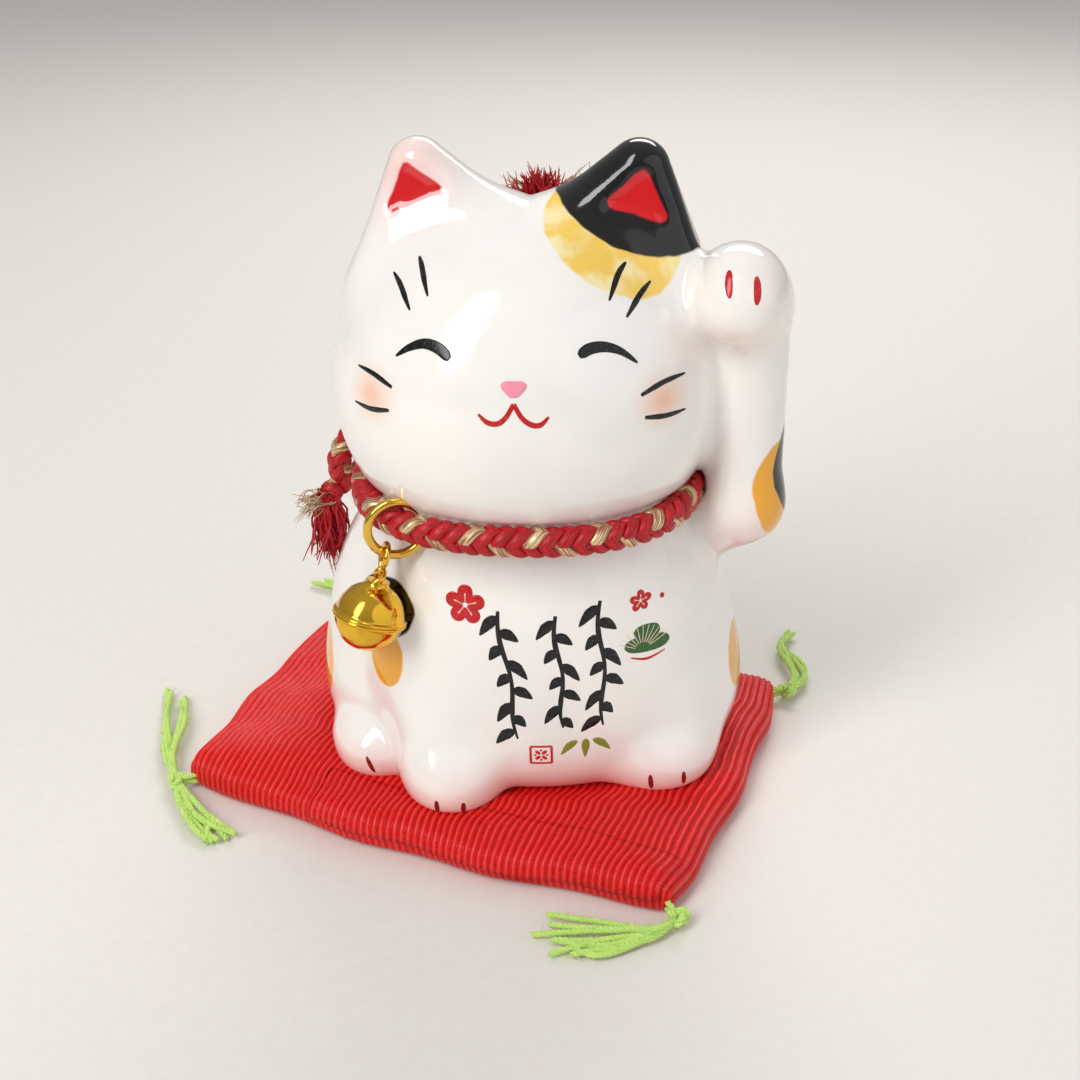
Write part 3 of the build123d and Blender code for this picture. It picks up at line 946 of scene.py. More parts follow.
def braid(shape, path, closed, size=1.0):
    """A round braid along a path: strands wind both ways and pass over and under each other."""
    path = np.asarray(path, float)
    loop = np.vstack([path, path[:1]]) if closed else path
    total = length(np.diff(loop, axis=0)).sum()
    turns = max(1, round(total / (BRAID_PITCH * size)))
    count = turns * TURN_POINTS
    line = even(path, count, closed)
    if closed:
        tangents = unit(np.roll(line, -1, axis=0) - np.roll(line, 1, axis=0))
        other = np.tile(UP, (count, 1))
        side = unit(np.cross(other, tangents))
    else:
        tangents, side, other = steady_sides(line)
    travel = 2 * math.pi * turns * np.arange(count) / count
    outline = 2 * math.pi * np.arange(STRAND_SIDES) / STRAND_SIDES
    for way in (1, -1):
        for strand in range(STRANDS_EACH_WAY):
            angle = way * (travel + 2 * math.pi * strand / STRANDS_EACH_WAY)
            lift = size * (STRAND_REACH + way * STRAND_WAVE * np.sin(2 * angle))
            radial = side * np.cos(angle)[:, None] + other * np.sin(angle)[:, None]
            centre = line + radial * lift[:, None]
            run = unit(np.gradient(centre, axis=0))
            if closed:
                run = unit(np.roll(centre, -1, axis=0) - np.roll(centre, 1, axis=0))
            flat = unit(np.cross(run, radial))
            wide = flat[:, None] * (np.cos(outline) * STRAND_HALF_WIDTH * size)[:, None]
            tall = radial[:, None] * (np.sin(outline) * STRAND_HALF_HEIGHT * size)[:, None]
            kind = 1.0 if strand == GILT_STRAND[way] else 0.0
            shape.add(centre[:, None] + wide + tall, closed, kind=kind)


def even(path, count, closed=False):
    """A smooth curve through the points with its points evenly spaced along it."""
    fine = cubic(path, 12 * len(path), closed)
    loop = np.vstack([fine, fine[:1]]) if closed else fine
    travel = np.concatenate([[0], np.cumsum(length(np.diff(loop, axis=0)))])
    places = np.linspace(0, travel[-1], count, endpoint=not closed)
    return np.stack([np.interp(places, travel, loop[:, axis]) for axis in range(3)], axis=1)


FIBRE_TAPER = np.array([1.0] * 9 + [0.8, 0.6, 0.3])


def fray(shape, root, heading, count, long, spread_out, thick=0.07, kind=0.0, droop=0.0):
    """Loose fibres that leave a cut end, opening out like a worn brush."""
    heading = unit(np.array(heading, float))
    for _ in range(count):
        lean = unit(heading + spread_out * chance.normal(size=3))
        start = np.array(root) + 0.5 * chance.normal(size=3) * (1.1, 1.1, 0.6)
        reach_out = long * chance.uniform(0.55, 1.1)
        curl = 0.10 * reach_out * chance.normal(size=3)
        middle = start + lean * 0.5 * reach_out + curl
        end = start + lean * reach_out - UP * droop * reach_out * chance.uniform(0.2, 1.0) - 0.5 * curl
        path = cubic([start - heading * 0.8, start, middle, end], 12)
        shape.add(tube(path, thick * FIBRE_TAPER, 5), kind=kind)


CORD_STEPS = 96
bearing = 2 * math.pi * np.arange(CORD_STEPS) / CORD_STEPS
across, along = np.cos(bearing), np.sin(bearing)
stretch = (np.abs(across) ** CORD_SQUARENESS + np.abs(along) ** CORD_SQUARENESS) ** (-1 / CORD_SQUARENESS)
cord_line = CORD_CENTRE + np.stack(
    [CORD_HALF_WIDTH * across * stretch, CORD_HALF_DEPTH * along * stretch, np.zeros(CORD_STEPS)], axis=1
)
cord_silk = silk("cord_silk", colour(206, 10, 30), colour(242, 214, 172))
collar = Shape()
braid(collar, cord_line, True)
collar.piece("collar_braid", cord_silk, "cat", ["neck_cord"], "braided_cord")

knot = CORD_CENTRE + np.array((0.0, CORD_HALF_DEPTH + 2.75, 0.0))


def behind(*steps):
    """A path that starts in the knot at the back of the neck."""
    return [knot] + [np.array(step, float) for step in steps]


left_loop = behind(
    (-9, 20.6, 47), (-19, 15.6, 46.4), (-25.6, 11.2, 43.2), (-27.6, 9.8, 38.6),
    (-24.6, 12.2, 35.8), (-15, 18.4, 38.6), (-5, 21.8, 42), knot,
)
right_loop = behind(
    (9, 21.2, 47), (18, 18.2, 46), (23.6, 16, 42.5), (22.5, 16.8, 38.5),
    (14, 20.0, 39), (5, 21.8, 42), knot,
)
left_tail = behind((-8, 22.6, 41.5), (-18, 17.6, 38.8), (-26, 12.4, 36.6), (-29.4, 10.2, 34.4))
upright_tail = behind((0.5, 24.8, 52), (0.2, 25.6, 62), (-0.6, 25.6, 69.5))
bow = Shape()
for path, size in ((left_loop, 0.92), (right_loop, 0.92), (left_tail, 0.9), (upright_tail, 0.9)):
    braid(bow, path, False, size)
knot_turn = np.linspace(0, 2 * math.pi, 26, endpoint=False)
knot_x, knot_y, knot_z = 1.5 * np.sin(knot_turn), 0.9 * np.cos(knot_turn), 2.4 * np.cos(knot_turn)
knot_ring = knot + np.stack([knot_x, knot_y, knot_z], axis=1)
braid(bow, knot_ring, False, 0.9)
bow.piece("bow_braid", cord_silk, "cat", ["cord_bow"], "braided_cord")

frayed_silk = silk("frayed_silk", colour(214, 16, 36), colour(255, 232, 204), 0.5)
ends = Shape()
fray(ends, (-29.6, 9.8, 33.8), (0.05, -0.15, -1.0), 380, 7.6, 0.13, 0.16, droop=0.1)
fray(ends, (-29.6, 9.6, 30.0), (0.25, -0.1, -1.0), 26, 10.0, 0.12, 0.06, droop=0.2)
fray(ends, (-30.2, 9.2, 34.0), (-0.75, -0.5, -0.15), 46, 3.6, 0.35, 0.09, kind=1.0, droop=0.2)
fray(ends, (-0.6, 25.8, 69.5), (0.0, 0.05, 1.0), 320, 6.6, 0.32, 0.15)
fray(ends, (-3.0, 26.0, 73.0), (-0.8, 0.1, 0.55), 18, 3.4, 0.3, 0.09, kind=1.0, droop=0.1)
fray(ends, (3.0, 26.0, 73.4), (0.8, 0.1, 0.75), 18, 4.2, 0.25, 0.09, kind=1.0, droop=0.1)
ends.piece("frayed_ends", frayed_silk, "cat", slot="braided_cord")

# ---- split ring ----
ring_gold = gilt_metal("ring_gold", colour(236, 190, 84), 0.08)
RING_STEPS = 120
RING_GAP = 0.035
RING_SPLIT = math.radians(100)
ring_turn = RING_SPLIT + np.linspace(RING_GAP, 2 * math.pi - RING_GAP, RING_STEPS)
ring_line = RING_CENTRE + RING_RADIUS * (
    np.sin(ring_turn)[:, None] * RING_ACROSS + np.cos(ring_turn)[:, None] * UP
)
ring_shape = Shape()
ring_thick = np.full(RING_STEPS, RING_WIRE)
ring_thick[[0, -1]] = 0.85 * RING_WIRE
ring_shape.add(tube(ring_line, ring_thick, 20))
ring_shape.piece("ring_wire", ring_gold, "ring", ["jump_ring"], "gold_wire")

# ---- jingle bell ----
BELL_RADIUS = 4.4
BELL_WALL = 0.35
RIM_REACH = 0.28
RIM_CENTRE = 0.18
SLOT_HALF_WIDTH = 0.45
SLOT_HOLE_RADIUS = 0.95
SLOT_ANGLE = math.radians(56)
SLOT_TOP = -0.6
NECK_RADIUS = 1.5
NECK_HALF_HEIGHT = 0.35
HALVES_GAP = 0.012
bell_up = -BELL_HANG
bell_side = unit(BELL_SWING - BELL_HANG * float(BELL_SWING @ BELL_HANG))
bell_front = np.cross(bell_up, bell_side)


def in_bell(points):
    """Coordinates along the slot, across it and up the bell."""
    away = points - BELL_CENTRE
    return np.stack([away @ bell_side, away @ bell_front, away @ bell_up], axis=1)


def bell_field(points, half):
    """Distance to one pressed half of the bell: half is 1 for the upper, -1 for the lower."""
    local = in_bell(points)
    x, y, z = local.T
    shell = np.abs(length(local) - BELL_RADIUS + BELL_WALL / 2) - BELL_WALL / 2
    level = np.hypot(x, y)
    lip = np.hypot(np.maximum(level - BELL_RADIUS - 0.05, 0), z - RIM_CENTRE * half) - RIM_REACH
    rim = np.maximum(lip, BELL_RADIUS - BELL_WALL - level)
    shape = join(shell, rim, 0.25)
    if half < 0:
        along = np.abs(x) - BELL_RADIUS * math.sin(SLOT_ANGLE)
        slot = np.maximum(np.abs(y) - SLOT_HALF_WIDTH, along)
        hole = np.hypot(along, y) - SLOT_HOLE_RADIUS
        shape = carve(shape, np.maximum(np.minimum(slot, hole), z - SLOT_TOP), 0.12)
    else:
        neck = np.maximum(level - NECK_RADIUS, np.abs(z - BELL_RADIUS) - NECK_HALF_HEIGHT)
        shape = join(shape, neck, 0.5)
    return carve(shape, half * z - HALVES_GAP, 0.04)


bell_gold = gilt_metal("bell_gold", colour(238, 186, 62), 0.07)
bell_cell = 0.10
bell_margin = 1.2
bell_from, bell_to = bell_low - bell_margin, bell_high + bell_margin
for half, name, node in ((1, "bell_top", "bell_upper_shell"), (-1, "bell_bottom", "bell_lower_shell")):
    bell_points, bell_quads = surface(partial(bell_field, half=half), bell_from, bell_to, bell_cell)
    make_piece(name, bell_points, bell_quads.tolist(), bell_gold, "bell", [node])

# the hanger: one wire bent into an eye, its two legs twisted together and spread into the bell's top
EYE_RADIUS = 1.35
EYE_WIRE = 0.40
eye_centre = EYE_POINT + BELL_HANG * 0.25
eye_turn = np.linspace(math.radians(28), math.radians(332), 40)
leg_side = np.cross(bell_side, BELL_HANG)
eye_loop = eye_centre + EYE_RADIUS * (
    np.cos(eye_turn)[:, None] * BELL_HANG + np.sin(eye_turn)[:, None] * leg_side
)
leg_start = EYE_RADIUS + 0.5
leg_end = BELL_DROP - BELL_RADIUS + 0.2
legs = []
for way in (1, -1):
    share = np.linspace(0, 1, 16)
    twist = math.pi * 1.5 * share + (0 if way > 0 else math.pi)
    wide = 0.38 + 0.42 * share**2
    down = leg_start + (leg_end - leg_start) * share
    legs.append(
        EYE_POINT
        + BELL_HANG * down[:, None]
        + leg_side * (wide * np.cos(twist))[:, None]
        + bell_side * (wide * np.sin(twist))[:, None]
    )
hanger = Shape()
hanger.add(tube(even(np.vstack([legs[0][::-1], eye_loop, legs[1]]), 150), EYE_WIRE, 14))
hanger.piece("bell_eye", ring_gold, "bell", ["bell_hanger"], "gold_wire")

ball_rows = np.linspace(0.02, math.pi - 0.02, 24)
pellet = Shape()
pellet.add(
    tube(
        PELLET_CENTRE + np.outer(-np.cos(ball_rows), UP) * PELLET_RADIUS,
        np.sin(ball_rows) * PELLET_RADIUS,
        32,
    )
)
pellet.piece("bell_pellet_ball", steel_grey(), "pellet", ["bell_pellet"], "steel_pellet")

# ---- cushion: simulated pad under ribbed cloth ----
corners = node_points("cushion_backing")
cushion_low, cushion_high = reach("cushion_cover", "cushion_backing")
CUSHION_CENTRE = (cushion_low + cushion_high) / 2
CUSHION_TOP = cushion_high[2]
CUSHION_TURN = math.radians(-17.2)
# the flat seat under the cat is an ellipse; its shift is given in half widths
SEAT_HALF_WIDTHS = (26.0, 21.5)
SEAT_SHIFT = (0.0, 0.1)
long_way = np.array((math.cos(CUSHION_TURN), math.sin(CUSHION_TURN), 0.0))
wide_way = np.array((-math.sin(CUSHION_TURN), math.cos(CUSHION_TURN), 0.0))
HALF_LENGTH = np.abs((corners - CUSHION_CENTRE) @ long_way).max()
HALF_WIDTH = np.abs((corners - CUSHION_CENTRE) @ wide_way).max()
SEAM_HEIGHT = 1.5
PAD_SPARE = 0.5
BULGE_FRONT = 3.4
BULGE_BACK = 0.8
BULGE_SIDE = 2.2
EDGE_WAVE = 0.35
WAVE_RISE = 0.16
RIB_WANDER = 0.2
EDGE_ROUND = 2.6
SIM_SCALE = 10
SIM_STEPS = 20
MOST_FILLED = 1.1
PAD_LONG = 61
PAD_WIDE = 45
COVER_THICK = 0.35
LIFTED_BOTTOM = 0.15


def edge_profile(half, share):
    """Place along the cushion and height share for arc positions from -1 to 1: flat, then rounded edges."""
    flat = half - EDGE_ROUND
    arc = EDGE_ROUND * math.pi / 2
    travel = np.abs(share) * (flat + arc)
    bend = np.clip((travel - flat) / EDGE_ROUND, 0, math.pi / 2)
    place = np.minimum(travel, flat) + EDGE_ROUND * np.sin(bend)
    return np.sign(share) * place, np.cos(bend)


def grid_faces(index, flip):
    """Quads between neighbours in a grid of vertex numbers; flip -1 turns them over."""
    quads = np.stack([index[:-1, :-1], index[1:, :-1], index[1:, 1:], index[:-1, 1:]], axis=-1)
    return quads.reshape(-1, 4)[:, ::flip].tolist()


def used_only(faces, count):
    """Which of count vertices the faces use, and the faces numbered by those alone."""
    faces = np.array(faces)
    used = np.zeros(count, bool)
    used[np.unique(faces)] = True
    return used, (np.cumsum(used) - 1)[faces].tolist()


def pad_sheet(top):
    """Upper or lower side of the sewn pad, before it is filled, as a grid of points."""
    long_place, long_rise = edge_profile(HALF_LENGTH + PAD_SPARE, np.linspace(-1, 1, PAD_LONG))
    wide_place, wide_rise = edge_profile(HALF_WIDTH + PAD_SPARE, np.linspace(-1, 1, PAD_WIDE))
    rise = long_rise[:, None] * wide_rise[None]
    reach_up = (CUSHION_TOP - COVER_THICK - SEAM_HEIGHT) if top else -(SEAM_HEIGHT - LIFTED_BOTTOM)
    height = SEAM_HEIGHT + reach_up * np.sqrt(rise)
    long_grid = np.broadcast_to(long_place[:, None], rise.shape)
    wide_grid = np.broadcast_to(wide_place, rise.shape)
    return np.stack([long_grid, wide_grid, height], axis=2)


def filled_pad():
    """The pad's two sides after a short cloth simulation fills it, in the cushion's own directions."""
    upper, lower = pad_sheet(True), pad_sheet(False)
    rim = np.ones((PAD_LONG, PAD_WIDE), bool)
    rim[1:-1, 1:-1] = False
    upper_index = np.arange(PAD_LONG * PAD_WIDE).reshape(PAD_LONG, PAD_WIDE)
    lower_index = np.where(rim, upper_index, upper_index + upper_index.size)
    rest = np.concatenate([upper.reshape(-1, 3), lower.reshape(-1, 3)])
    used, faces = used_only(grid_faces(upper_index, 1) + grid_faces(lower_index, -1), len(rest))
    mesh = bpy.data.meshes.new("pad_sim")
    mesh.from_pydata((rest[used] * MM * SIM_SCALE).tolist(), [], faces)
    pad = bpy.data.objects.new("pad_sim", mesh)
    scene.collection.objects.link(pad)
    cloth = pad.modifiers.new("Cloth", "CLOTH")
    cloth.settings.quality = 6
    cloth.settings.mass = 0.3
    cloth.settings.tension_stiffness = 25
    cloth.settings.compression_stiffness = 12
    cloth.settings.shear_stiffness = 8
    cloth.settings.bending_stiffness = 0.25
    cloth.settings.use_pressure = True
    cloth.settings.uniform_pressure_force = 4
    cloth.settings.effector_weights.gravity = 0
    cloth.collision_settings.use_collision = False
    cloth.point_cache.frame_start = 1
    cloth.point_cache.frame_end = SIM_STEPS
    for step in range(1, SIM_STEPS + 1):
        scene.frame_set(step)
    settled = pad.evaluated_get(bpy.context.evaluated_depsgraph_get()).to_mesh()
    flat = np.zeros(3 * len(settled.vertices))
    settled.vertices.foreach_get("co", flat)
    moved = rest.copy()
    moved[used] = flat.reshape(-1, 3) / (MM * SIM_SCALE)
    scene.frame_set(1)
    bpy.data.objects.remove(pad)
    shift = moved - rest
    size = np.maximum(length(shift), 1e-6)[:, None]
    moved = rest + shift * np.minimum(1, MOST_FILLED / size)
    upper = moved[upper_index.ravel()].reshape(PAD_LONG, PAD_WIDE, 3)
    lower = moved[lower_index.ravel()].reshape(PAD_LONG, PAD_WIDE, 3)
    return upper, lower


def slacken(local, top):
    """Lets the sewn edges bulge between the corners and adds the soft waves of stuffed cloth."""
    x = local[..., 0] / HALF_LENGTH
    y = local[..., 1] / HALF_WIDTH
    bow_long = np.clip(1 - x * x, 0, 1)
    bow_wide = np.clip(1 - y * y, 0, 1)
    near_front = np.clip(-y, 0, 1) ** 3
    near_back = np.clip(y, 0, 1) ** 3
    near_side = np.abs(x) ** 5
    moved = local.copy()
    moved[..., 1] += bow_long * (BULGE_BACK * near_back - BULGE_FRONT * near_front)
    side_wave = EDGE_WAVE * np.sin(9 * y + 2 * np.sign(x))
    moved[..., 0] += np.sign(x) * near_side * (BULGE_SIDE * bow_wide + side_wave)
    moved[..., 1] += (near_front + near_back) * EDGE_WAVE * np.sin(11 * x + 1)
    ripple = np.sin(17 * y + 3 * x) + 0.6 * np.sin(31 * y - 7 * x + 1)
    moved[..., 0] += RIB_WANDER * (1 - near_side) * ripple
    if top:
        edge = np.clip(np.maximum(np.abs(x) - 0.55, np.abs(y) - 0.45) * 3, 0, 1)
        waves = np.sin(7 * x + 4 * y) + np.sin(13 * y - 5 * x + 1) + 0.6 * np.sin(19 * x + 2)
        moved[..., 2] += WAVE_RISE * edge * waves
    return moved


def to_row(local):
    """Points given in the cushion's own directions, turned into the model's."""
    middle = CUSHION_CENTRE * (1, 1, 0)
    return middle + local[..., :1] * long_way + local[..., 1:2] * wide_way + local[..., 2:] * UP


RIB_POINTS = 6
RIB_RISE = 0.26
FINE_LONG = RIB_COUNT * RIB_POINTS + 1
FINE_WIDE = 121
rib_share = np.linspace(-1, 1, FINE_LONG)
rib_wave = np.abs(np.cos(math.pi * RIB_COUNT / 2 * rib_share)) ** 0.8
row_share = np.linspace(-1, 1, FINE_WIDE)


def fine_sheet(coarse, rise, facing):
    """A smooth fine grid through the coarse one, with ribs raised on its outer side."""
    fine = cubic(coarse, FINE_LONG)
    fine = cubic(fine.swapaxes(0, 1), FINE_WIDE).swapaxes(0, 1)
    normal = unit(np.cross(np.gradient(fine, axis=0), np.gradient(fine, axis=1))) * facing
    sewn = np.minimum(1, (1 - np.abs(row_share)) * 14)[None, :, None]
    return fine + normal * (rib_wave[:, None, None] * rise * sewn), normal


def press_flat(local, top):
    """Flattens the pad on the table and under the cat."""
    row = to_row(local)
    under = length(row[..., :2] / SEAT_HALF_WIDTHS - SEAT_SHIFT)
    if top:
        soft = np.clip((under - 0.9) / 0.2, 0, 1)
        ceiling = CUSHION_TOP - 0.02 + 1.2 * soft
        local[..., 2] = np.minimum(local[..., 2], ceiling)
        floor_height = np.where(under < 0.95, CUSHION_TOP - 0.25, 0.1)
        local[..., 2] = np.maximum(local[..., 2], floor_height)
    else:
        local[..., 2] = np.maximum(local[..., 2], 0.02)
    return local


pad_upper, pad_lower = filled_pad()
pad_upper = slacken(pad_upper, True)
pad_lower = slacken(pad_lower, False)
upper, upper_normal = fine_sheet(pad_upper, RIB_RISE, 1)
lower = fine_sheet(pad_lower, 0.0, -1)[0]
upper = press_flat(upper, True)
lower = press_flat(lower, False)
lower[[0, -1]] = upper[[0, -1]]
lower[:, [0, -1]] = upper[:, [0, -1]]
grid_size = FINE_LONG * FINE_WIDE
upper_index = np.arange(grid_size).reshape(FINE_LONG, FINE_WIDE)
lower_index = upper_index + grid_size
lower_index[[0, -1]] = upper_index[[0, -1]]
lower_index[:, [0, -1]] = upper_index[:, [0, -1]]
cloth_place = np.stack(
    [
        np.broadcast_to((rib_share * HALF_LENGTH)[:, None], (FINE_LONG, FINE_WIDE)),
        np.broadcast_to(row_share * HALF_WIDTH, (FINE_LONG, FINE_WIDE)),
        np.zeros((FINE_LONG, FINE_WIDE)),
    ],
    axis=2,
)
satin = ribbed_satin()
cushion_points = to_row(np.concatenate([upper.reshape(-1, 3), lower.reshape(-1, 3)]))
both_sides = grid_faces(upper_index, 1) + grid_faces(lower_index, -1)
used, cushion_faces = used_only(both_sides, len(cushion_points))
cushion = make_piece(
    "cushion_pad",
    cushion_points[used],
    cushion_faces,
    satin,
    "cushion",
    ["cushion_cover", "cushion_backing", "cushion_filling"],
)
add_values(cushion, "cloth", np.concatenate([cloth_place.reshape(-1, 3)] * 2)[used])
# rib height for the satin: painted shade in the valleys, painted highlight on the crests
crest_height = np.broadcast_to(rib_wave[:, None], (FINE_LONG, FINE_WIDE))
add_values(cushion, "crest", np.concatenate([crest_height.ravel()] * 2)[used])

# the overlapping fold of the cover's opening, along the right part of the front edge
FOLD_START = 0.30
FOLD_ROWS = 17
FOLD_THICK = 0.42
FOLD_GAP = 0.06
FOLD_SINK = 0.05
fold_columns = slice(int(FINE_LONG * FOLD_START), FINE_LONG - 3 * RIB_POINTS)
fold_surface = upper[fold_columns, 1:FOLD_ROWS]
fold_normal = upper_normal[fold_columns, 1:FOLD_ROWS]
blend_in = np.sin(np.linspace(0, math.pi / 2, FOLD_ROWS - 1))[::-1]
fold_out = fold_surface + fold_normal * (FOLD_GAP + FOLD_THICK * blend_in)[None, :, None]
fold_in = fold_surface - fold_normal * FOLD_SINK
fold = Shape()
fold.add(to_row(np.concatenate([fold_out, fold_in[:, ::-1]], axis=1)))
fold_piece = fold.piece("cushion_fold", satin, "cushion", slot="red_ribbed_cloth")
fold_place = cloth_place[fold_columns, 1:FOLD_ROWS]
add_values(fold_piece, "cloth", np.concatenate([fold_place, fold_place[:, ::-1]], axis=1).reshape(-1, 3))
# the same rib height on the fold, for its painted shade and painted highlight
fold_crest = crest_height[fold_columns, 1:FOLD_ROWS]
add_values(fold_piece, "crest", np.concatenate([fold_crest, fold_crest[:, ::-1]], axis=1).ravel())

# ---- tassels: twisted yarn with fuzz ----
PLY_COUNT = 3
PLY_RADIUS = 0.30
PLY_TWIST = 2.6
TABLE_GAP = 0.08
STRAND_SIZE = 0.72
HAIR_RADIUS = 0.035


def yarn(shape, path, size=1.0, fuzz=1.2):
    """A length of three-ply yarn with short loose hairs."""
    rough_length = length(np.diff(np.asarray(path, float), axis=0)).sum()
    count = max(16, int(rough_length * 4))
    line = even(path, count)
    line[:, 2] = np.maximum(line[:, 2], TABLE_GAP + 2 * PLY_RADIUS * size)
    tangents, side, other = steady_sides(line)
    travel = np.linspace(0, rough_length, count)
    for ply in range(PLY_COUNT):
        angle = 2 * math.pi * (travel / (PLY_TWIST * size) + ply / PLY_COUNT)
        spoke = side * np.cos(angle)[:, None] + other * np.sin(angle)[:, None]
        thick = PLY_RADIUS * size * (1 + 0.10 * np.sin(1.9 * travel + 2 * ply))
        thick[-2:] *= (0.85, 0.5)
        shape.add(tube(line + spoke * 0.98 * PLY_RADIUS * size, thick, 8))
    for _ in range(int(rough_length * fuzz)):
        at = chance.integers(1, count - 1)
        lean = unit(chance.normal(size=3)) * (0.7 + 0.7 * chance.random())
        start = line[at]
        tip = start + lean + tangents[at] * chance.normal() * 0.5
        tip[2] = max(tip[2], TABLE_GAP)
        middle = (start + tip) / 2 + 0.12 * chance.normal(size=3)
        shape.add(tube(cubic([start, middle, tip], 6), HAIR_RADIUS, 4))


def overhand_knot(shape, centre, size):
    """A tight knot of yarn."""
    turn = np.linspace(0, 2 * math.pi, 40, endpoint=False)
    path = np.stack(
        [
            np.sin(turn) + 2 * np.sin(2 * turn),
            np.cos(turn) - 2 * np.cos(2 * turn),
            -1.3 * np.sin(3 * turn),
        ],
        axis=1,
    )
    yarn(shape, np.array(centre) + path * size * 0.36, 0.85, 0.6)


KNOT_OFFSET = 0.5


def tassel(name, knot_place, strands):
    """A knot at the cushion's corner with loose strands lying on the table."""
    shape = Shape()
    knot_place = knot_place + unit((knot_place - CUSHION_CENTRE) * (1, 1, 0)) * KNOT_OFFSET
    overhand_knot(shape, knot_place, 1.05)
    for strand, copies in strands:
        for copy in range(copies):
            drift = chance.normal(size=(len(strand), 3)) * (0.9, 0.9, 0.25) * (0 if copy == 0 else 1)
            growth = np.linspace(0.35, 1.0, len(strand))[:, None]
            yarn(shape, np.vstack([knot_place, np.array(strand, float) + drift * growth]), STRAND_SIZE)
    shape.piece("yarn_" + name, green_yarn, "tassel_" + name + "_yarn", ["tassel_" + name], "green_yarn")


def pivot(name):
    """Where the tassel is sewn on."""
    return np.array(joint_named("tassel_" + name + "_swing")["pos_m"]) / MM


green_yarn = yarn_green()
front_left, front_right = pivot("front_left"), pivot("front_right")
back_right, back_left = pivot("back_right"), pivot("back_left")
tassel("front_left", front_left, [
    ([(-51.5, -8, 1.6), (-54.5, 0, 1.2), (-56.2, 8.0, 0.8)], 3),
    ([(-50.5, -9, 2.0), (-52.0, -1, 1.5), (-53.6, 6.0, 0.8)], 3),
    ([(-45.5, -17.5, 1.4), (-41.5, -21, 1.1), (-38.0, -23.4, 0.8)], 3),
    ([(-46.5, -18.5, 1.2), (-42.5, -23.0, 0.9), (-39.2, -25.4, 0.8)], 3),
])
tassel("front_right", front_right, [
    ([(18.5, -38.0, 1.6), (12.0, -38.4, 1.4), (5.5, -37.8, 1.0)], 3),
    ([(18.0, -38.6, 1.3), (12.0, -39.8, 0.9), (6.0, -40.2, 0.8)], 3),
    ([(18.2, -39.0, 1.0), (13.0, -41.0, 0.9), (8.5, -42.4, 0.8)], 3),
])
tassel("back_right", back_right, [
    ([(38.2, 18.5, 1.6), (36.0, 24.5, 1.8), (37.2, 29.0, 1.4), (38.6, 31.4, 0.9)], 3),
    ([(39.4, 17.6, 1.2), (38.6, 22.5, 0.9), (36.2, 27.0, 0.8)], 2),
])
tassel("back_left", back_left, [
    ([(-35.2, 38.0, 1.5), (-37.5, 41.0, 1.2), (-40.4, 43.2, 0.8)], 3),
    ([(-34.0, 39.0, 1.2), (-35.0, 42.0, 0.8), (-37.6, 44.4, 0.8)], 2),
])

stitches = Shape()
for place in (front_left, front_right, back_right, back_left):
    inward = unit((CUSHION_CENTRE - place) * (1, 1, 0))
    start = place - inward * 0.4
    yarn(stitches, [start, place + inward * 1.6 + UP * 0.5, place + inward * 3.2 + UP * 0.6], 0.7, 0.5)
    yarn(stitches, [start, place + inward * 1.5 - UP * 0.5, place + inward * 3.2], 0.7, 0.5)
stitches.piece("corner_stitches", green_yarn, "cushion", slot="green_yarn")


# ---- floor, light and camera ----
FLOOR_HALF = 1500.0
floor_mesh = bpy.data.meshes.new("floor")
floor_mesh.from_pydata(
    [(x * FLOOR_HALF * MM, y * FLOOR_HALF * MM, 0.0) for x, y in ((-1, -1), (1, -1), (1, 1), (-1, 1))],
    [],
    [(0, 1, 2, 3)],
)
floor_mesh.materials.append(table_finish())
floor = bpy.data.objects.new("floor", floor_mesh)
scene.collection.objects.link(floor)


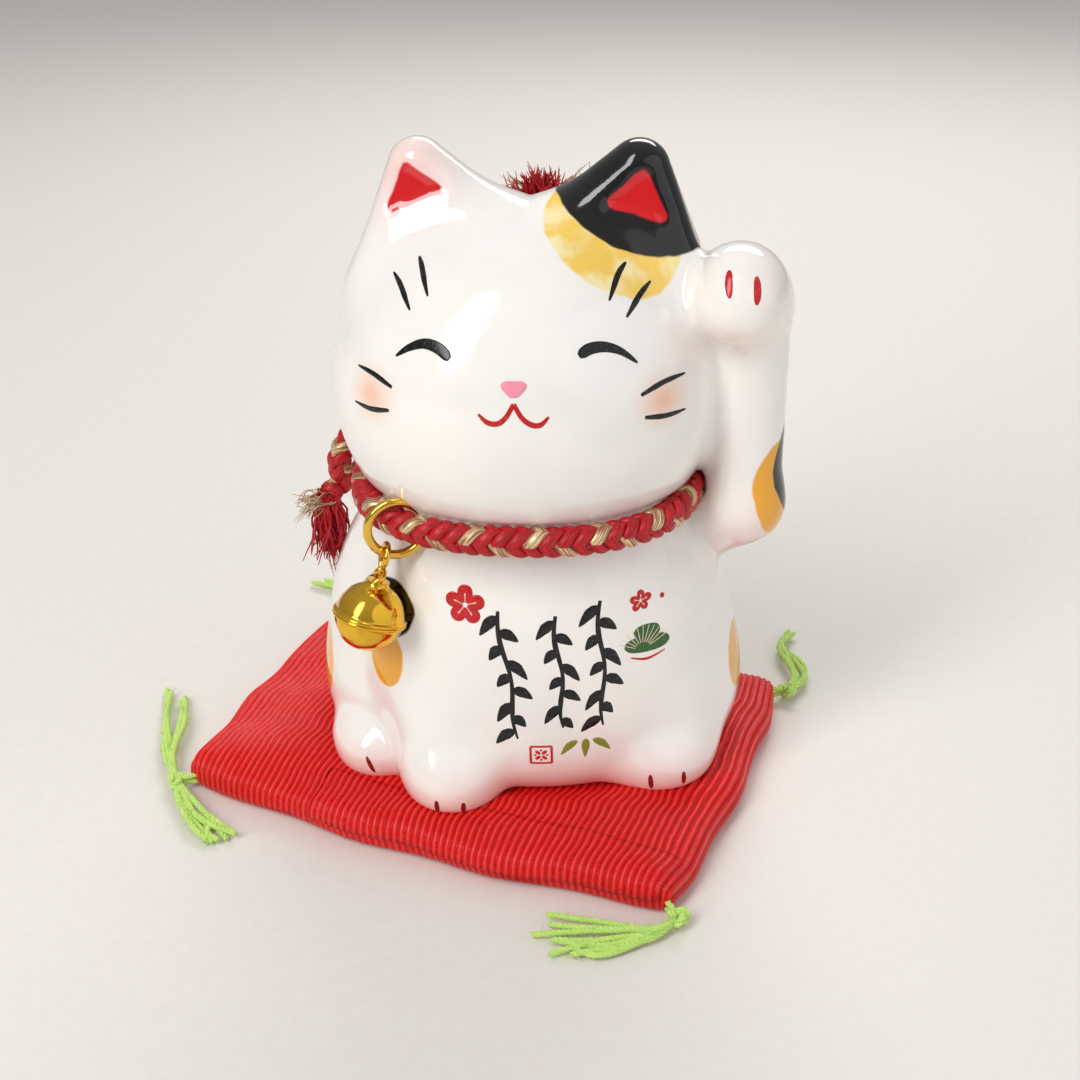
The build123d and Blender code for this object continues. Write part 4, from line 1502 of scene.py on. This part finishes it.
def soft_light(name, place, size, power, tint):
    """A large soft lamp that points at the cat."""
    lamp = bpy.data.lights.new(name, "AREA")
    lamp.shape = "ELLIPSE"
    lamp.size, lamp.size_y = size[0] * MM, size[1] * MM
    lamp.energy = power
    lamp.color = tint
    made = bpy.data.objects.new(name, lamp)
    made.location = Vector(place) * MM
    aim = Vector((0, 0, 40)) - Vector(place)
    made.rotation_euler = aim.to_track_quat("-Z", "Y").to_euler()
    scene.collection.objects.link(made)


soft_light("key_light", (-260, -330, 420), (170, 560), 1.9, (1.0, 0.985, 0.965))
soft_light("fill_light", (460, -260, 280), (900, 700), 0.8, (0.95, 0.97, 1.0))
soft_light("back_light", (60, 420, 380), (420, 160), 1.2, (1.0, 0.98, 0.95))

world = bpy.data.worlds.new("studio")
world.use_nodes = True
tree = world.node_tree
sky = tree.nodes["Background"]
direction = tree.nodes.new("ShaderNodeTexCoord").outputs["Generated"]
split = tree.nodes.new("ShaderNodeSeparateXYZ")
ramp = tree.nodes.new("ShaderNodeValToRGB")
tree.links.new(direction, split.inputs[0])
tree.links.new(split.outputs["Z"], ramp.inputs[0])
tree.links.new(ramp.outputs[0], sky.inputs["Color"])
ramp.color_ramp.elements[0].color = colour(205, 203, 200)
ramp.color_ramp.elements[1].color = colour(250, 250, 250)
sky.inputs["Strength"].default_value = 0.5
scene.world = world
scene.view_settings.view_transform = "Standard"

VIEW_RISE = math.radians(28.5)
VIEW_TURN = math.radians(6.0)
VIEW_ROLL = math.radians(-1.0)
VIEW_AWAY = 200.0
VIEW_AIM = Vector((1.3, 0.0, 33.5))
lens = bpy.data.cameras.new("camera")
lens.lens = 50
lens.sensor_width = 36
lens.clip_start = 0.01
camera = bpy.data.objects.new("camera", lens)
towards = Vector((
    math.sin(VIEW_TURN) * math.cos(VIEW_RISE),
    -math.cos(VIEW_TURN) * math.cos(VIEW_RISE),
    math.sin(VIEW_RISE),
))
camera.location = (VIEW_AIM + towards * VIEW_AWAY) * MM
turned = (-towards).to_track_quat("-Z", "Y").to_matrix().to_4x4()
camera.rotation_euler = turned.to_euler()
camera.rotation_euler.rotate_axis("Z", VIEW_ROLL)
scene.collection.objects.link(camera)
scene.camera = camera
